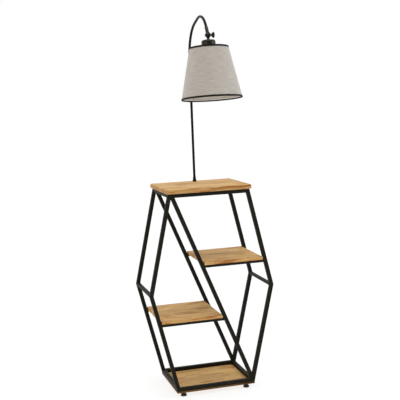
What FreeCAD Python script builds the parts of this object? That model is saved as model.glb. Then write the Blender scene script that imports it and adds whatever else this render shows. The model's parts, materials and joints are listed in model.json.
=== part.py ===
"""Shelf floor lamp: a hexagonal steel frame with four boards, and a swan-neck lamp on its top.

Millimetres, +Z up, +X to the right, +Y to the back. The origin lies on the floor, under the
middle of the frame. Every piece is its own solid, and each file in parts/ is one named piece or
one group of like pieces.
"""
import FreeCAD
import Part
import math
import os

V = FreeCAD.Vector

# ---------------------------------------------------------------- driving dimensions

# Frame of square steel tube: a front and a back hexagon, each with one diagonal.
TUBE = 15.0
TUBE_WALL = 1.2
TUBE_ROUND = 1.5
FRAME_DEPTH = 260.0
FRAME_HEIGHT = 775.0
TOP_HALF = 157.0            # half widths between the tube centre lines
KNEE_HALF = 243.5
BASE_HALF = 153.0
KNEE_RISE = 380.0           # from the bottom rail's centre line up to the knees
DIAGONAL_TOP_INSET = 9.0    # from the hexagon's corners to where the diagonal crosses the rails
DIAGONAL_BASE_INSET = -1.0
KNEE_BAR_HEIGHT = 10.0

# Feet.
FOOT_HEIGHT = 18.0
FOOT_DIAMETER = 24.0
FOOT_RIM = 4.0
FOOT_SHOULDER = 4.0         # from the rim up to the shoulder of the flare
FOOT_SHOULDER_DIAMETER = 19.0
FOOT_FLARE = 7.0
FOOT_NECK_DIAMETER = 12.0
FOOT_CLEARANCE = 0.3
FOOT_INSET_X = 29.5         # from the frame's lower corner to the middle of the foot
FOOT_INSET_Y = 21.0
STUD_DIAMETER = 6.0
STUD_LENGTH = 4.4
INSERT_DIAMETER = 9.0
INSERT_LENGTH = 5.0

# Boards.
BASE_BOARD = 6.0
SHELF_BOARD = 12.0
TOP_BOARD = 18.0
TOP_OVERHANG = 8.5
TOP_EDGE_ROUND = 5.0
TOP_CORNER_ROUND = 10.0
SHELF_GAP = 0.5
SHELF_EDGE_ROUND = 1.0
UPPER_SHELF_TOP = 526.5     # above the floor
LOWER_SHELF_TOP = 310.5

# Angle bars under the shelves.
ANGLE_LEG = 10.0
ANGLE_THICKNESS = 1.5

# Screws.
SCREW_DIAMETER = 3.5
SCREW_HOLE = 4.0
SCREW_HEAD = 6.6
SCREW_HEAD_HEIGHT = 2.0
SHELF_SCREW_BITE = 9.0
SHELF_SCREW_INSET = 45.0
TOP_SCREW_BITE = 13.0
TOP_SCREW_Y = 75.0
BASE_SCREW_HEAD = 7.4
BASE_SCREW_GRIP = 8.0
BASE_SCREW_X = 95.0

# Pole, arch and what holds them in the top board.
POLE_DIAMETER = 10.0
POLE_WALL = 1.0
POLE_X = 7.0
POLE_INSET = 32.0           # from the frame's back face to the middle of the pole
POLE_TAIL = 14.0            # threaded end under the top board
STRAIGHT_TOP = 1311.5       # height at which the arch begins
ARCH_RADIUS = 139.5
ARCH_TURN = 72.0
ARCH_RUN = 42.5
CROWN_RADIUS = 96.0
CROWN_TURN = 76.0
ARM_END = 37.0              # straight end of the arm, up to the tilt axis
FIT = 0.05                  # radial clearance of a shaft in its hole
COLLAR_HEIGHT = 20.0
COLLAR_BASE = 16.0
COLLAR_TOP = 12.4
WASHER_DIAMETER = 22.0
WASHER_THICKNESS = 1.5
POLE_NUT_FLATS = 15.0
POLE_NUT_HEIGHT = 5.0
OUTLET_DIAMETER = 14.0
OUTLET_LIP = 4.0
OUTLET_GRIP = 5.0
LEAD_DIAMETER = 6.4

# Tilting knuckle. The tilt axis runs along X through the end of the arm.
DISC_DIAMETER = 20.0
DISC_REACH = 8.0            # from the middle of the knuckle to the outer face of either disc
KNUCKLE_WASHER_DIAMETER = 17.0
KNUCKLE_WASHER = 1.0
KNUCKLE_GAP = 0.3
STUB_DIAMETER = 10.0
STUB_END = 13.5
POLE_STOP = 14.0            # from the tilt axis to the end of the pole's tube
FERRULE_DIAMETER = 13.0
FERRULE_START = 10.4
SCREW_SHANK = 6.0
WING_BOSS_DIAMETER = 10.0
WING_BOSS = 2.5
WING_START = 11.5
WING_END = 26.0
WING_SPAN = 22.0
WING_THICKNESS = 2.6
KNUCKLE_NUT_DIAMETER = 11.0
KNUCKLE_NUT = 4.0

# Lamp head. Distances run down the head's own axis, from the tilt axis.
HEAD_TILT = 5.2             # forward tilt of the head at rest, in degrees
NECK_FLANGE = 14.0
NECK_FLANGE_HEIGHT = 2.0
CAP_TOP = 18.5
CAP_DIAMETER = 53.0
CAP_HEIGHT = 34.0
CAP_WALL = 1.2
CAP_ROUND = 7.0
NIPPLE_END = 27.0
HEAD_LEAD_DIAMETER = 6.0
HEAD_LEAD_BORE = 7.0
HEAD_LEAD_START = 13.0
HOLDER_DIAMETER = 44.0
HOLDER_ROOF = 4.0
HOLDER_SLEEVE_DIAMETER = 40.0
HOLDER_END = 78.0
FITTER_SEAT = 58.0
FITTER_THICKNESS = 1.5
FITTER_DIAMETER = 60.0
CLAMP_RING_DIAMETER = 54.0
CLAMP_RING_HEIGHT = 8.0
SHELL_DIAMETER = 29.0
SHELL_WALL = 0.5
SHELL_START = 40.0
SHELL_LENGTH = 32.0
CONTACT_BLOCK = 6.0
CONTACT_DIAMETER = 9.0
CONTACT_HEIGHT = 2.0
CONTACT_GAP = 0.3

# Bulb.
BULB_CAP_DIAMETER = 26.4
BULB_CAP_LENGTH = 27.0
BULB_CAP_WALL = 0.6
BULB_NECK_DIAMETER = 25.0
BULB_DIAMETER = 60.0
BULB_CENTRE = 58.0          # from the top of the glass to the middle of the globe
GLASS = 0.9

# Shade: laminated linen on two wire rings, edged with tape.
SHADE_TOP = 44.0
SHADE_HEIGHT = 192.5
SHADE_TOP_DIAMETER = 146.5
SHADE_BOTTOM_DIAMETER = 229.0
SHADE_FABRIC = 1.0
TRIM = 0.6
TRIM_HEIGHT = 5.0
RING_WIRE = 3.0
RING_GAP = 0.1
SPIDER_ARMS = 3

FAR = 2000.0                # longer than any piece, for trimming

# ---------------------------------------------------------------- derived levels

HALF = TUBE / 2.0
HALF_DEPTH = FRAME_DEPTH / 2.0
INNER_Y = HALF_DEPTH - TUBE
POLE_Y = HALF_DEPTH - POLE_INSET
BOARD_UNDERSIDE = FOOT_HEIGHT
RAIL_UNDERSIDE = FOOT_HEIGHT + BASE_BOARD
BASE_Z = RAIL_UNDERSIDE + HALF
TOP_Z = BASE_Z + FRAME_HEIGHT - TUBE
KNEE_Z = BASE_Z + KNEE_RISE
TOP_BOARD_UNDERSIDE = TOP_Z + HALF
TOP_BOARD_TOP = TOP_BOARD_UNDERSIDE + TOP_BOARD

# Centre-line corners of the hexagon as (x, z), anticlockwise seen from the front.
HEXAGON = [
    (-BASE_HALF, BASE_Z),
    (BASE_HALF, BASE_Z),
    (KNEE_HALF, KNEE_Z),
    (TOP_HALF, TOP_Z),
    (-TOP_HALF, TOP_Z),
    (-KNEE_HALF, KNEE_Z),
]
MEMBERS = ["bottom_rail", "lower_right_leg", "upper_right_leg",
           "top_rail", "upper_left_leg", "lower_left_leg"]


# ---------------------------------------------------------------- plain helpers

def export(shape, node):
    """Write one node, and say what it holds."""
    if not shape.isValid():
        raise RuntimeError(node + " is not a valid solid")
    shape.exportStep("parts/" + node + ".step")
    print("%-26s solids %2d  volume %10.1f" % (node, len(shape.Solids), shape.Volume))


def group(solids):
    """Separate solids that share one node."""
    return Part.makeCompound(solids)


def box(x0, x1, y0, y1, z0, z1):
    return Part.makeBox(x1 - x0, y1 - y0, z1 - z0, V(x0, y0, z0))


def rod(diameter, start, end):
    """Round bar between two points."""
    span = end - start
    return Part.makeCylinder(diameter / 2.0, span.Length, start, span)


def prism(points, y0, y1):
    """Extrude an (x, z) outline along Y."""
    corners = [V(x, y0, z) for x, z in points]
    face = Part.Face(Part.makePolygon(corners + corners[:1]))
    return face.extrude(V(0, y1 - y0, 0))


def turned(profile):
    """Revolve an (r, z) outline about the Z axis."""
    corners = [V(r, 0, z) for r, z in profile]
    face = Part.Face(Part.makePolygon(corners + corners[:1]))
    return face.revolve(V(0, 0, 0), V(0, 0, 1), 360)


def eased(solid, radius):
    """The solid with its long edges rounded."""
    longest = max(edge.Length for edge in solid.Edges)
    long_edges = [edge for edge in solid.Edges if edge.Length > longest / 2.0]
    return solid.makeFillet(radius, long_edges)


def moved(shape, placement):
    """A copy of the shape at a placement."""
    placed = shape.copy()
    placed.Placement = placement.multiply(placed.Placement)
    return placed


# ---------------------------------------------------------------- frame

def edge_line(index, offset):
    """Point and direction of one hexagon edge, moved outwards by offset."""
    x0, z0 = HEXAGON[index % 6]
    x1, z1 = HEXAGON[(index + 1) % 6]
    length = math.hypot(x1 - x0, z1 - z0)
    ux, uz = (x1 - x0) / length, (z1 - z0) / length
    return (x0 + uz * offset, z0 - ux * offset), (ux, uz)


def corner(index, offset):
    """Mitred corner of the hexagon, moved outwards by offset."""
    (ax, az), (ux, uz) = edge_line(index - 1, offset)
    (bx, bz), (vx, vz) = edge_line(index, offset)
    along = ((bx - ax) * vz - (bz - az) * vx) / (ux * vz - uz * vx)
    return ax + along * ux, az + along * uz


def hexagon_tube(index, y0, y1):
    """One mitred square tube of the hexagon."""
    def outline(reach):
        return [corner(index, reach), corner(index + 1, reach),
                corner(index + 1, -reach), corner(index, -reach)]
    solid = eased(prism(outline(HALF), y0, y1), TUBE_ROUND)
    return solid.cut(prism(outline(HALF - TUBE_WALL), y0 + TUBE_WALL, y1 - TUBE_WALL))


DIAGONAL_TOP = TOP_HALF - DIAGONAL_TOP_INSET
DIAGONAL_BASE = BASE_HALF - DIAGONAL_BASE_INSET
DIAGONAL_RUN = (DIAGONAL_BASE + DIAGONAL_TOP) / (TOP_Z - BASE_Z)


def diagonal_x(z, reach):
    """X of the diagonal at a height, moved to its right by reach square to its length."""
    return DIAGONAL_BASE - DIAGONAL_RUN * (z - BASE_Z) + reach * math.hypot(1.0, DIAGONAL_RUN)


def diagonal_strip(reach, y0, y1):
    """The diagonal's full band between the rails' centre lines."""
    outline = [(diagonal_x(BASE_Z, -reach), BASE_Z), (diagonal_x(BASE_Z, reach), BASE_Z),
               (diagonal_x(TOP_Z, reach), TOP_Z), (diagonal_x(TOP_Z, -reach), TOP_Z)]
    return prism(outline, y0, y1)


def inside_hexagon(y0, y1):
    return prism([corner(index, -HALF) for index in range(6)], y0, y1)


def diagonal_tube(y0, y1):
    """Square tube cut to fit between the rails and legs in two opposite corners."""
    room = inside_hexagon(y0, y1)
    solid = eased(diagonal_strip(HALF, y0, y1), TUBE_ROUND).common(room)
    bore = diagonal_strip(HALF - TUBE_WALL, y0 + TUBE_WALL, y1 - TUBE_WALL)
    return solid.cut(bore)


def inner_half(z):
    """Half width between the inner faces of the legs at a height."""
    index = 1 if z < KNEE_Z else 2
    (x0, z0), (ux, uz) = edge_line(index, -HALF)
    return x0 + (z - z0) * ux / uz


CORNER_TOP_X = corner(3, HALF)[0]
CORNER_BASE_X = corner(1, HALF)[0]
KNEE_OUTER_X = corner(2, HALF)[0] - KNEE_BAR_HEIGHT / 2.0 * (KNEE_HALF - BASE_HALF) / KNEE_RISE


def side_tube(x_outer, side, z_middle, height):
    """Tube along Y between the two hexagons, its outer face at x_outer on one side."""
    x0, x1 = sorted([side * x_outer, side * (x_outer - TUBE)])
    z0, z1 = z_middle - height / 2.0, z_middle + height / 2.0
    solid = eased(box(x0, x1, -INNER_Y, INNER_Y, z0, z1), TUBE_ROUND)
    return solid.cut(box(x0 + TUBE_WALL, x1 - TUBE_WALL, -INNER_Y, INNER_Y,
                         z0 + TUBE_WALL, z1 - TUBE_WALL))


# ---------------------------------------------------------------- shelves

def bay(right):
    """The space on one side of the diagonal, inside the hexagon and as deep as the frame."""
    reach = HALF if right else -HALF
    away = -FAR if right else FAR
    base = (diagonal_x(BASE_Z, reach), BASE_Z)
    top = (diagonal_x(TOP_Z, reach), TOP_Z)
    other_side = prism([base, top, (top[0] + away, top[1]), (base[0] + away, base[1])],
                       -HALF_DEPTH, HALF_DEPTH)
    return inside_hexagon(-HALF_DEPTH, HALF_DEPTH).cut(other_side)


def shelf_span(top, right):
    """X limits of a square-cut board between the diagonal and the legs."""
    underside = top - SHELF_BOARD
    if right:
        return diagonal_x(underside, HALF) + SHELF_GAP, inner_half(top) - SHELF_GAP
    return -inner_half(underside) + SHELF_GAP, diagonal_x(top, -HALF) - SHELF_GAP


def shelf_screw_places(top, right):
    """Middles of the four screws of a shelf."""
    x0, x1 = shelf_span(top, right)
    y = HALF_DEPTH - (ANGLE_LEG + ANGLE_THICKNESS) / 2.0
    return [(x, side * y) for x in (x0 + SHELF_SCREW_INSET, x1 - SHELF_SCREW_INSET)
            for side in (-1, 1)]


def shelf_board(top, right):
    x0, x1 = shelf_span(top, right)
    underside = top - SHELF_BOARD
    board = box(x0, x1, -HALF_DEPTH, HALF_DEPTH, underside, top)
    long_edges = [edge for edge in board.Edges
                  if abs(edge.BoundBox.XLength - (x1 - x0)) < FIT and edge.BoundBox.ZMin > underside]
    board = board.makeFillet(SHELF_EDGE_ROUND, long_edges)
    for x, y in shelf_screw_places(top, right):
        board = board.cut(rod(SCREW_DIAMETER, V(x, y, underside), V(x, y, underside + SHELF_SCREW_BITE)))
    return board


def shelf_supports(top, right):
    """Two angle bars, welded between the tubes of the front and of the back hexagon."""
    z = top - SHELF_BOARD
    room = bay(right)
    bars = []
    for side in (-1, 1):
        face, back = side * HALF_DEPTH, side * (HALF_DEPTH - ANGLE_LEG)
        web = side * (HALF_DEPTH - ANGLE_THICKNESS)
        flat = box(-FAR, FAR, min(face, back), max(face, back), z - ANGLE_THICKNESS, z)
        upright = box(-FAR, FAR, min(face, web), max(face, web), z - ANGLE_LEG, z)
        bar = flat.fuse(upright).removeSplitter().common(room)
        for x, y in shelf_screw_places(top, right):
            bar = bar.cut(rod(SCREW_HOLE, V(x, y, z - ANGLE_LEG), V(x, y, z)))
        bars.append(bar)
    return group(bars)


def pan_screw(x, y, head_top, length):
    """Pan-head screw that points up, its head under head_top."""
    head = rod(SCREW_HEAD, V(x, y, head_top - SCREW_HEAD_HEIGHT), V(x, y, head_top))
    return head.fuse(rod(SCREW_DIAMETER, V(x, y, head_top), V(x, y, head_top + length)))


def shelf_screws():
    screws = []
    for top, right in ((UPPER_SHELF_TOP, True), (LOWER_SHELF_TOP, False)):
        head_top = top - SHELF_BOARD - ANGLE_THICKNESS
        for x, y in shelf_screw_places(top, right):
            screws.append(pan_screw(x, y, head_top, ANGLE_THICKNESS + SHELF_SCREW_BITE))
    return group(screws)


# ---------------------------------------------------------------- top and base boards

TOP_SCREW_PLACES = [(side_x * (CORNER_TOP_X - HALF), side_y * TOP_SCREW_Y)
                    for side_x in (-1, 1) for side_y in (-1, 1)]
BASE_SCREW_PLACES = [(x, side * (HALF_DEPTH - HALF))
                     for x in (-BASE_SCREW_X, 0.0, BASE_SCREW_X) for side in (-1, 1)]
FOOT_PLACES = {
    "front_left": (-1, -1),
    "front_right": (1, -1),
    "back_left": (-1, 1),
    "back_right": (1, 1),
}


def foot_place(name):
    side_x, side_y = FOOT_PLACES[name]
    return side_x * (CORNER_BASE_X - FOOT_INSET_X), side_y * (HALF_DEPTH - FOOT_INSET_Y)


def top_board():
    x, y = CORNER_TOP_X + TOP_OVERHANG, HALF_DEPTH + TOP_OVERHANG
    board = box(-x, x, -y, y, TOP_BOARD_UNDERSIDE, TOP_BOARD_TOP)
    uprights = [edge for edge in board.Edges if edge.BoundBox.ZLength > TOP_BOARD / 2.0]
    board = board.makeFillet(TOP_CORNER_ROUND, uprights)
    rims = [edge for edge in board.Edges if edge.BoundBox.ZLength < TOP_BOARD / 2.0]
    board = board.makeFillet(TOP_EDGE_ROUND, rims)
    low, high = V(POLE_X, POLE_Y, TOP_BOARD_UNDERSIDE), V(POLE_X, POLE_Y, TOP_BOARD_TOP)
    board = board.cut(rod(POLE_DIAMETER + 2 * FIT, low, high))
    for sx, sy in TOP_SCREW_PLACES:
        board = board.cut(rod(SCREW_DIAMETER, V(sx, sy, TOP_BOARD_UNDERSIDE),
                              V(sx, sy, TOP_BOARD_UNDERSIDE + TOP_SCREW_BITE)))
    return board


def top_screws():
    """Long screws, up through the top side rails into the board."""
    underside = TOP_BOARD_UNDERSIDE - TUBE
    return group([pan_screw(x, y, underside, TUBE + TOP_SCREW_BITE) for x, y in TOP_SCREW_PLACES])


def top_side_rail(side):
    rail = side_tube(CORNER_TOP_X, side, TOP_Z, TUBE)
    for x, y in TOP_SCREW_PLACES:
        rail = rail.cut(rod(SCREW_HOLE, V(x, y, TOP_Z - TUBE), V(x, y, TOP_Z + TUBE)))
    return rail


def base_screw(x, y):
    """Countersunk screw from under the base board into the rail's lower wall."""
    depth = (BASE_SCREW_HEAD - SCREW_DIAMETER) / 2.0
    head = Part.makeCone(BASE_SCREW_HEAD / 2.0, SCREW_DIAMETER / 2.0, depth, V(x, y, BOARD_UNDERSIDE))
    shank = rod(SCREW_DIAMETER, V(x, y, BOARD_UNDERSIDE), V(x, y, RAIL_UNDERSIDE + BASE_SCREW_GRIP))
    return head.fuse(shank)


def base_board():
    board = box(-CORNER_BASE_X, CORNER_BASE_X, -HALF_DEPTH, HALF_DEPTH, BOARD_UNDERSIDE, RAIL_UNDERSIDE)
    for x, y in BASE_SCREW_PLACES:
        board = board.cut(base_screw(x, y))
    for name in FOOT_PLACES:
        x, y = foot_place(name)
        board = board.cut(rod(INSERT_DIAMETER, V(x, y, BOARD_UNDERSIDE),
                              V(x, y, BOARD_UNDERSIDE + INSERT_LENGTH)))
    return board


def foot_insert(x, y):
    low, high = V(x, y, BOARD_UNDERSIDE), V(x, y, BOARD_UNDERSIDE + INSERT_LENGTH)
    return rod(INSERT_DIAMETER, low, high).cut(rod(STUD_DIAMETER + 2 * FIT, low, high))


def foot(x, y):
    """Flared glide with its threaded stud."""
    rim, neck = FOOT_DIAMETER / 2.0, FOOT_NECK_DIAMETER / 2.0
    top = FOOT_HEIGHT - FOOT_CLEARANCE
    profile = [(0, 0), (rim - 1.0, 0), (rim, 1.0), (rim, FOOT_RIM),
               (FOOT_SHOULDER_DIAMETER / 2.0, FOOT_RIM + FOOT_SHOULDER), (neck, FOOT_RIM + FOOT_FLARE),
               (neck, top), (STUD_DIAMETER / 2.0, top),
               (STUD_DIAMETER / 2.0, FOOT_HEIGHT + STUD_LENGTH), (0, FOOT_HEIGHT + STUD_LENGTH)]
    return moved(turned(profile), FreeCAD.Placement(V(x, y, 0), FreeCAD.Rotation()))


# ---------------------------------------------------------------- pole and arch

def arch_points():
    """Key points of the arm's centre line, with its heading at the end."""
    def heading(turn):
        angle = math.radians(turn)
        return V(0, -math.sin(angle), math.cos(angle))

    def bend(start, turn, sweep, radius):
        """Middle and end of an arc that leaves start along the heading."""
        side = heading(turn + 90.0)
        centre = start + side * radius
        return [centre - heading(turn + part * sweep + 90.0) * radius for part in (0.5, 1.0)]

    straight = V(POLE_X, POLE_Y, STRAIGHT_TOP)
    arch_middle, arch_end = bend(straight, 0.0, ARCH_TURN, ARCH_RADIUS)
    crown_start = arch_end + heading(ARCH_TURN) * ARCH_RUN
    crown_middle, crown_end = bend(crown_start, ARCH_TURN, CROWN_TURN, CROWN_RADIUS)
    out = heading(ARCH_TURN + CROWN_TURN)
    return straight, arch_middle, arch_end, crown_start, crown_middle, crown_end, out


STRAIGHT, ARCH_MIDDLE, ARCH_FINISH, CROWN_START, CROWN_MIDDLE, CROWN_FINISH, ARM_OUT = arch_points()
TILT_AXIS = CROWN_FINISH + ARM_OUT * ARM_END
POLE_FOOT = TOP_BOARD_UNDERSIDE - POLE_TAIL


def along_pole(diameter, low, short_of_axis):
    """Round bar that follows the pole and its arch, from a height to near the tilt axis."""
    start = V(POLE_X, POLE_Y, low)
    finish = TILT_AXIS - ARM_OUT * short_of_axis
    edges = [
        Part.LineSegment(start, STRAIGHT).toShape(),
        Part.Arc(STRAIGHT, ARCH_MIDDLE, ARCH_FINISH).toShape(),
        Part.LineSegment(ARCH_FINISH, CROWN_START).toShape(),
        Part.Arc(CROWN_START, CROWN_MIDDLE, CROWN_FINISH).toShape(),
        Part.LineSegment(CROWN_FINISH, finish).toShape(),
    ]
    path = Part.Wire(edges)
    circle = Part.Wire(Part.Circle(start, V(0, 0, 1), diameter / 2.0).toShape())
    bar = path.makePipeShell([circle], True, False)
    expected = math.pi * diameter ** 2 / 4.0 * path.Length
    print("   bar of %.1f along the pole: length %.1f, volume ratio %.5f"
          % (diameter, path.Length, bar.Volume / expected))
    return bar


def pole():
    outer = along_pole(POLE_DIAMETER, POLE_FOOT, POLE_STOP)
    return outer.cut(along_pole(POLE_DIAMETER - 2 * POLE_WALL, POLE_FOOT, POLE_STOP))


def at_pole(shape, z):
    return moved(shape, FreeCAD.Placement(V(POLE_X, POLE_Y, z), FreeCAD.Rotation()))


def pole_collar():
    bore = POLE_DIAMETER / 2.0 + FIT
    profile = [(bore, 0), (COLLAR_BASE / 2.0, 0), (COLLAR_BASE / 2.0, COLLAR_HEIGHT * 0.25),
               (COLLAR_TOP / 2.0, COLLAR_HEIGHT * 0.75), (COLLAR_TOP / 2.0, COLLAR_HEIGHT),
               (bore, COLLAR_HEIGHT)]
    return at_pole(turned(profile), TOP_BOARD_TOP)


def pole_washer():
    bore = POLE_DIAMETER / 2.0 + FIT
    profile = [(bore, -WASHER_THICKNESS), (WASHER_DIAMETER / 2.0, -WASHER_THICKNESS),
               (WASHER_DIAMETER / 2.0, 0), (bore, 0)]
    return at_pole(turned(profile), TOP_BOARD_UNDERSIDE)


def hex_nut(flats, height, bore):
    """Hexagon nut standing on the XY plane."""
    radius = flats / math.sqrt(3.0)
    corners = [V(radius * math.cos(math.radians(60 * i)), radius * math.sin(math.radians(60 * i)), 0)
               for i in range(6)]
    face = Part.Face(Part.makePolygon(corners + corners[:1]))
    return face.extrude(V(0, 0, height)).cut(Part.makeCylinder(bore / 2.0, height))


def pole_nut():
    nut = hex_nut(POLE_NUT_FLATS, POLE_NUT_HEIGHT, POLE_DIAMETER + 2 * FIT)
    return at_pole(nut, TOP_BOARD_UNDERSIDE - WASHER_THICKNESS - POLE_NUT_HEIGHT)


def cord_outlet():
    """Plastic bush on the pole's lower end, where the cord leaves."""
    outer, grip = OUTLET_DIAMETER / 2.0, POLE_DIAMETER / 2.0 + FIT
    mouth = LEAD_DIAMETER / 2.0 + FIT
    profile = [(mouth, -OUTLET_LIP), (outer - 1.0, -OUTLET_LIP), (outer, 1.0 - OUTLET_LIP),
               (outer, OUTLET_GRIP), (grip, OUTLET_GRIP), (grip, 0), (mouth, 0)]
    return at_pole(turned(profile), POLE_FOOT)


# ---------------------------------------------------------------- knuckle

ARM_PLACE = FreeCAD.Placement(TILT_AXIS, FreeCAD.Rotation(V(0, 0, 1), ARM_OUT * -1))
HEAD_PLACE = FreeCAD.Placement(TILT_AXIS, FreeCAD.Rotation(V(1, 0, 0), -HEAD_TILT))
AXIS_PLACE = FreeCAD.Placement(TILT_AXIS, FreeCAD.Rotation(V(0, 0, 1), V(1, 0, 0)))
BOLT_HOLE = SCREW_SHANK + 2 * FIT
DISC_CLEARANCE = DISC_DIAMETER + 2 * KNUCKLE_GAP


def x_rod(diameter, x0, x1):
    """Round bar along X, measured from the middle of the knuckle, before it is placed."""
    return rod(diameter, V(x0, 0, 0), V(x1, 0, 0))


def arm_ferrule():
    """Sleeve over the end of the pole and the knuckle's stub."""
    bore, outer = POLE_DIAMETER / 2.0 + FIT, FERRULE_DIAMETER / 2.0
    profile = [(bore, FERRULE_START), (outer - 1.0, FERRULE_START), (outer, FERRULE_START + 1.0),
               (outer, ARM_END - 1.0), (outer - 1.0, ARM_END), (bore, ARM_END)]
    return moved(turned(profile), ARM_PLACE)


def knuckle_upper():
    """Left disc with the stub that is held in the ferrule."""
    face = -KNUCKLE_WASHER / 2.0
    stub = rod(STUB_DIAMETER, V(0, 0, 0), V(0, 0, STUB_END))
    stub = stub.cut(x_rod(DISC_CLEARANCE, face, DISC_REACH))
    disc = x_rod(DISC_DIAMETER, -DISC_REACH, face)
    body = disc.fuse(stub).cut(x_rod(BOLT_HOLE, -DISC_REACH, DISC_REACH))
    return moved(body.removeSplitter(), ARM_PLACE)


def knuckle_washer():
    ring = x_rod(KNUCKLE_WASHER_DIAMETER, -KNUCKLE_WASHER / 2.0, KNUCKLE_WASHER / 2.0)
    ring = ring.cut(x_rod(BOLT_HOLE, -KNUCKLE_WASHER, KNUCKLE_WASHER))
    return moved(ring, ARM_PLACE)


def knuckle_lower():
    """Right disc with the hollow neck that carries the head."""
    face = KNUCKLE_WASHER / 2.0 + KNUCKLE_GAP
    neck = rod(STUB_DIAMETER, V(0, 0, 0), V(0, 0, -NIPPLE_END))
    neck = neck.fuse(rod(NECK_FLANGE, V(0, 0, NECK_FLANGE_HEIGHT - CAP_TOP), V(0, 0, -CAP_TOP)))
    neck = neck.cut(x_rod(DISC_CLEARANCE, -DISC_REACH, face))
    body = x_rod(DISC_DIAMETER, face, DISC_REACH).fuse(neck)
    body = body.cut(x_rod(BOLT_HOLE, -DISC_REACH, DISC_REACH))
    body = body.cut(rod(HEAD_LEAD_BORE, V(0, 0, -HEAD_LEAD_START), V(0, 0, -NIPPLE_END)))
    return moved(body.removeSplitter(), HEAD_PLACE)


def wing_screw():
    """Clamping screw: shank, boss and two flat wings."""
    boss_start = DISC_REACH + KNUCKLE_GAP
    half = WING_SPAN / 2.0
    shank = x_rod(SCREW_SHANK, -DISC_REACH - KNUCKLE_NUT / 2.0, boss_start)
    boss = x_rod(WING_BOSS_DIAMETER, boss_start, boss_start + WING_BOSS)
    waist = x_rod(SCREW_SHANK, boss_start, WING_START + WING_THICKNESS)
    outline = [(WING_START, half * 0.25), (WING_START + 2.5, half * 0.3), (WING_START + 8.0, half),
               (WING_END - 2.5, half * 0.95), (WING_END, half * 0.35)]
    outline += [(x, -z) for x, z in reversed(outline)]
    wings = prism(outline, -WING_THICKNESS / 2.0, WING_THICKNESS / 2.0)
    screw = shank.fuse([boss, waist, wings]).removeSplitter()
    return moved(screw, FreeCAD.Placement(TILT_AXIS, FreeCAD.Rotation()))


def knuckle_nut():
    """Domed nut on the far end of the wing screw."""
    outer, bore = KNUCKLE_NUT_DIAMETER / 2.0, BOLT_HOLE / 2.0
    profile = [(bore, 0), (outer, 0), (outer, KNUCKLE_NUT * 0.5), (outer * 0.75, KNUCKLE_NUT),
               (0, KNUCKLE_NUT), (0, KNUCKLE_NUT * 0.75), (bore, KNUCKLE_NUT * 0.75)]
    side = FreeCAD.Placement(TILT_AXIS - V(DISC_REACH, 0, 0), FreeCAD.Rotation(V(0, 0, 1), V(-1, 0, 0)))
    return moved(turned(profile), side)


# ---------------------------------------------------------------- lamp head

def head_turned(profile):
    """Revolve an (r, distance down the head's axis) outline and place it on the head."""
    return moved(turned([(r, -distance) for r, distance in profile]), HEAD_PLACE)


def shade_radius(distance, inset):
    """Radius of the shade's cone at a distance from the tilt axis, moved inwards by inset."""
    share = (distance - SHADE_TOP) / SHADE_HEIGHT
    return (SHADE_TOP_DIAMETER + share * (SHADE_BOTTOM_DIAMETER - SHADE_TOP_DIAMETER)) / 2.0 - inset


def holder_cap():
    """Metal cup over the lamp holder, round at its upper edge."""
    outer, bore = CAP_DIAMETER / 2.0, STUB_DIAMETER / 2.0 + FIT
    bottom = CAP_TOP + CAP_HEIGHT
    cup = turned([(0, -CAP_TOP), (outer, -CAP_TOP), (outer, -bottom), (0, -bottom)])
    rims = [edge for edge in cup.Edges
            if edge.Length > CAP_DIAMETER and abs(edge.BoundBox.ZMax + CAP_TOP) < FIT]
    cup = cup.makeFillet(CAP_ROUND, rims)
    inner = outer - CAP_WALL
    hollow = turned([(0, -CAP_TOP - CAP_WALL), (inner, -CAP_TOP - CAP_WALL), (inner, -bottom), (0, -bottom)])
    rims = [edge for edge in hollow.Edges
            if edge.Length > CAP_DIAMETER and abs(edge.BoundBox.ZMax + CAP_TOP + CAP_WALL) < FIT]
    hollow = hollow.makeFillet(CAP_ROUND - CAP_WALL, rims)
    cup = cup.cut(hollow).cut(Part.makeCylinder(bore, CAP_TOP + CAP_HEIGHT, V(0, 0, -bottom)))
    return moved(cup, HEAD_PLACE)


def lamp_holder():
    """Plastic body: a roof on the nipple, a wide top and a narrower threaded sleeve."""
    top = CAP_TOP + CAP_WALL
    wide, sleeve = HOLDER_DIAMETER / 2.0, HOLDER_SLEEVE_DIAMETER / 2.0
    inner, bore = SHELL_DIAMETER / 2.0, STUB_DIAMETER / 2.0 + FIT
    clear = CAP_ROUND
    return head_turned([(bore, top), (wide - clear, top), (wide, top + clear), (wide, FITTER_SEAT),
                        (sleeve, FITTER_SEAT), (sleeve, HOLDER_END), (inner, HOLDER_END),
                        (inner, top + HOLDER_ROOF), (bore, top + HOLDER_ROOF)])


def contact_block():
    """Insulating block at the bottom of the holder."""
    outer = SHELL_DIAMETER / 2.0
    bore = HEAD_LEAD_DIAMETER / 2.0 + FIT
    start = SHELL_START - CONTACT_BLOCK
    return head_turned([(bore, start), (outer, start), (outer, SHELL_START), (0, SHELL_START),
                        (0, SHELL_START - 2.0), (bore, SHELL_START - 2.0)])


def head_lead():
    """Short lead in the neck, from the knuckle to the contact block."""
    radius = HEAD_LEAD_DIAMETER / 2.0
    finish = SHELL_START - 2.0
    return head_turned([(0, HEAD_LEAD_START), (radius, HEAD_LEAD_START), (radius, finish), (0, finish)])


def centre_contact():
    radius = CONTACT_DIAMETER / 2.0
    tip = SHELL_START + CONTACT_HEIGHT
    return head_turned([(0, SHELL_START), (radius, SHELL_START), (radius, SHELL_START + CONTACT_HEIGHT / 2.0),
                        (radius / 2.0, tip), (0, tip)])


def screw_shell():
    outer = SHELL_DIAMETER / 2.0
    inner = outer - SHELL_WALL
    return head_turned([(inner, SHELL_START), (outer, SHELL_START), (outer, SHELL_START + SHELL_LENGTH),
                        (inner, SHELL_START + SHELL_LENGTH)])


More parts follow.
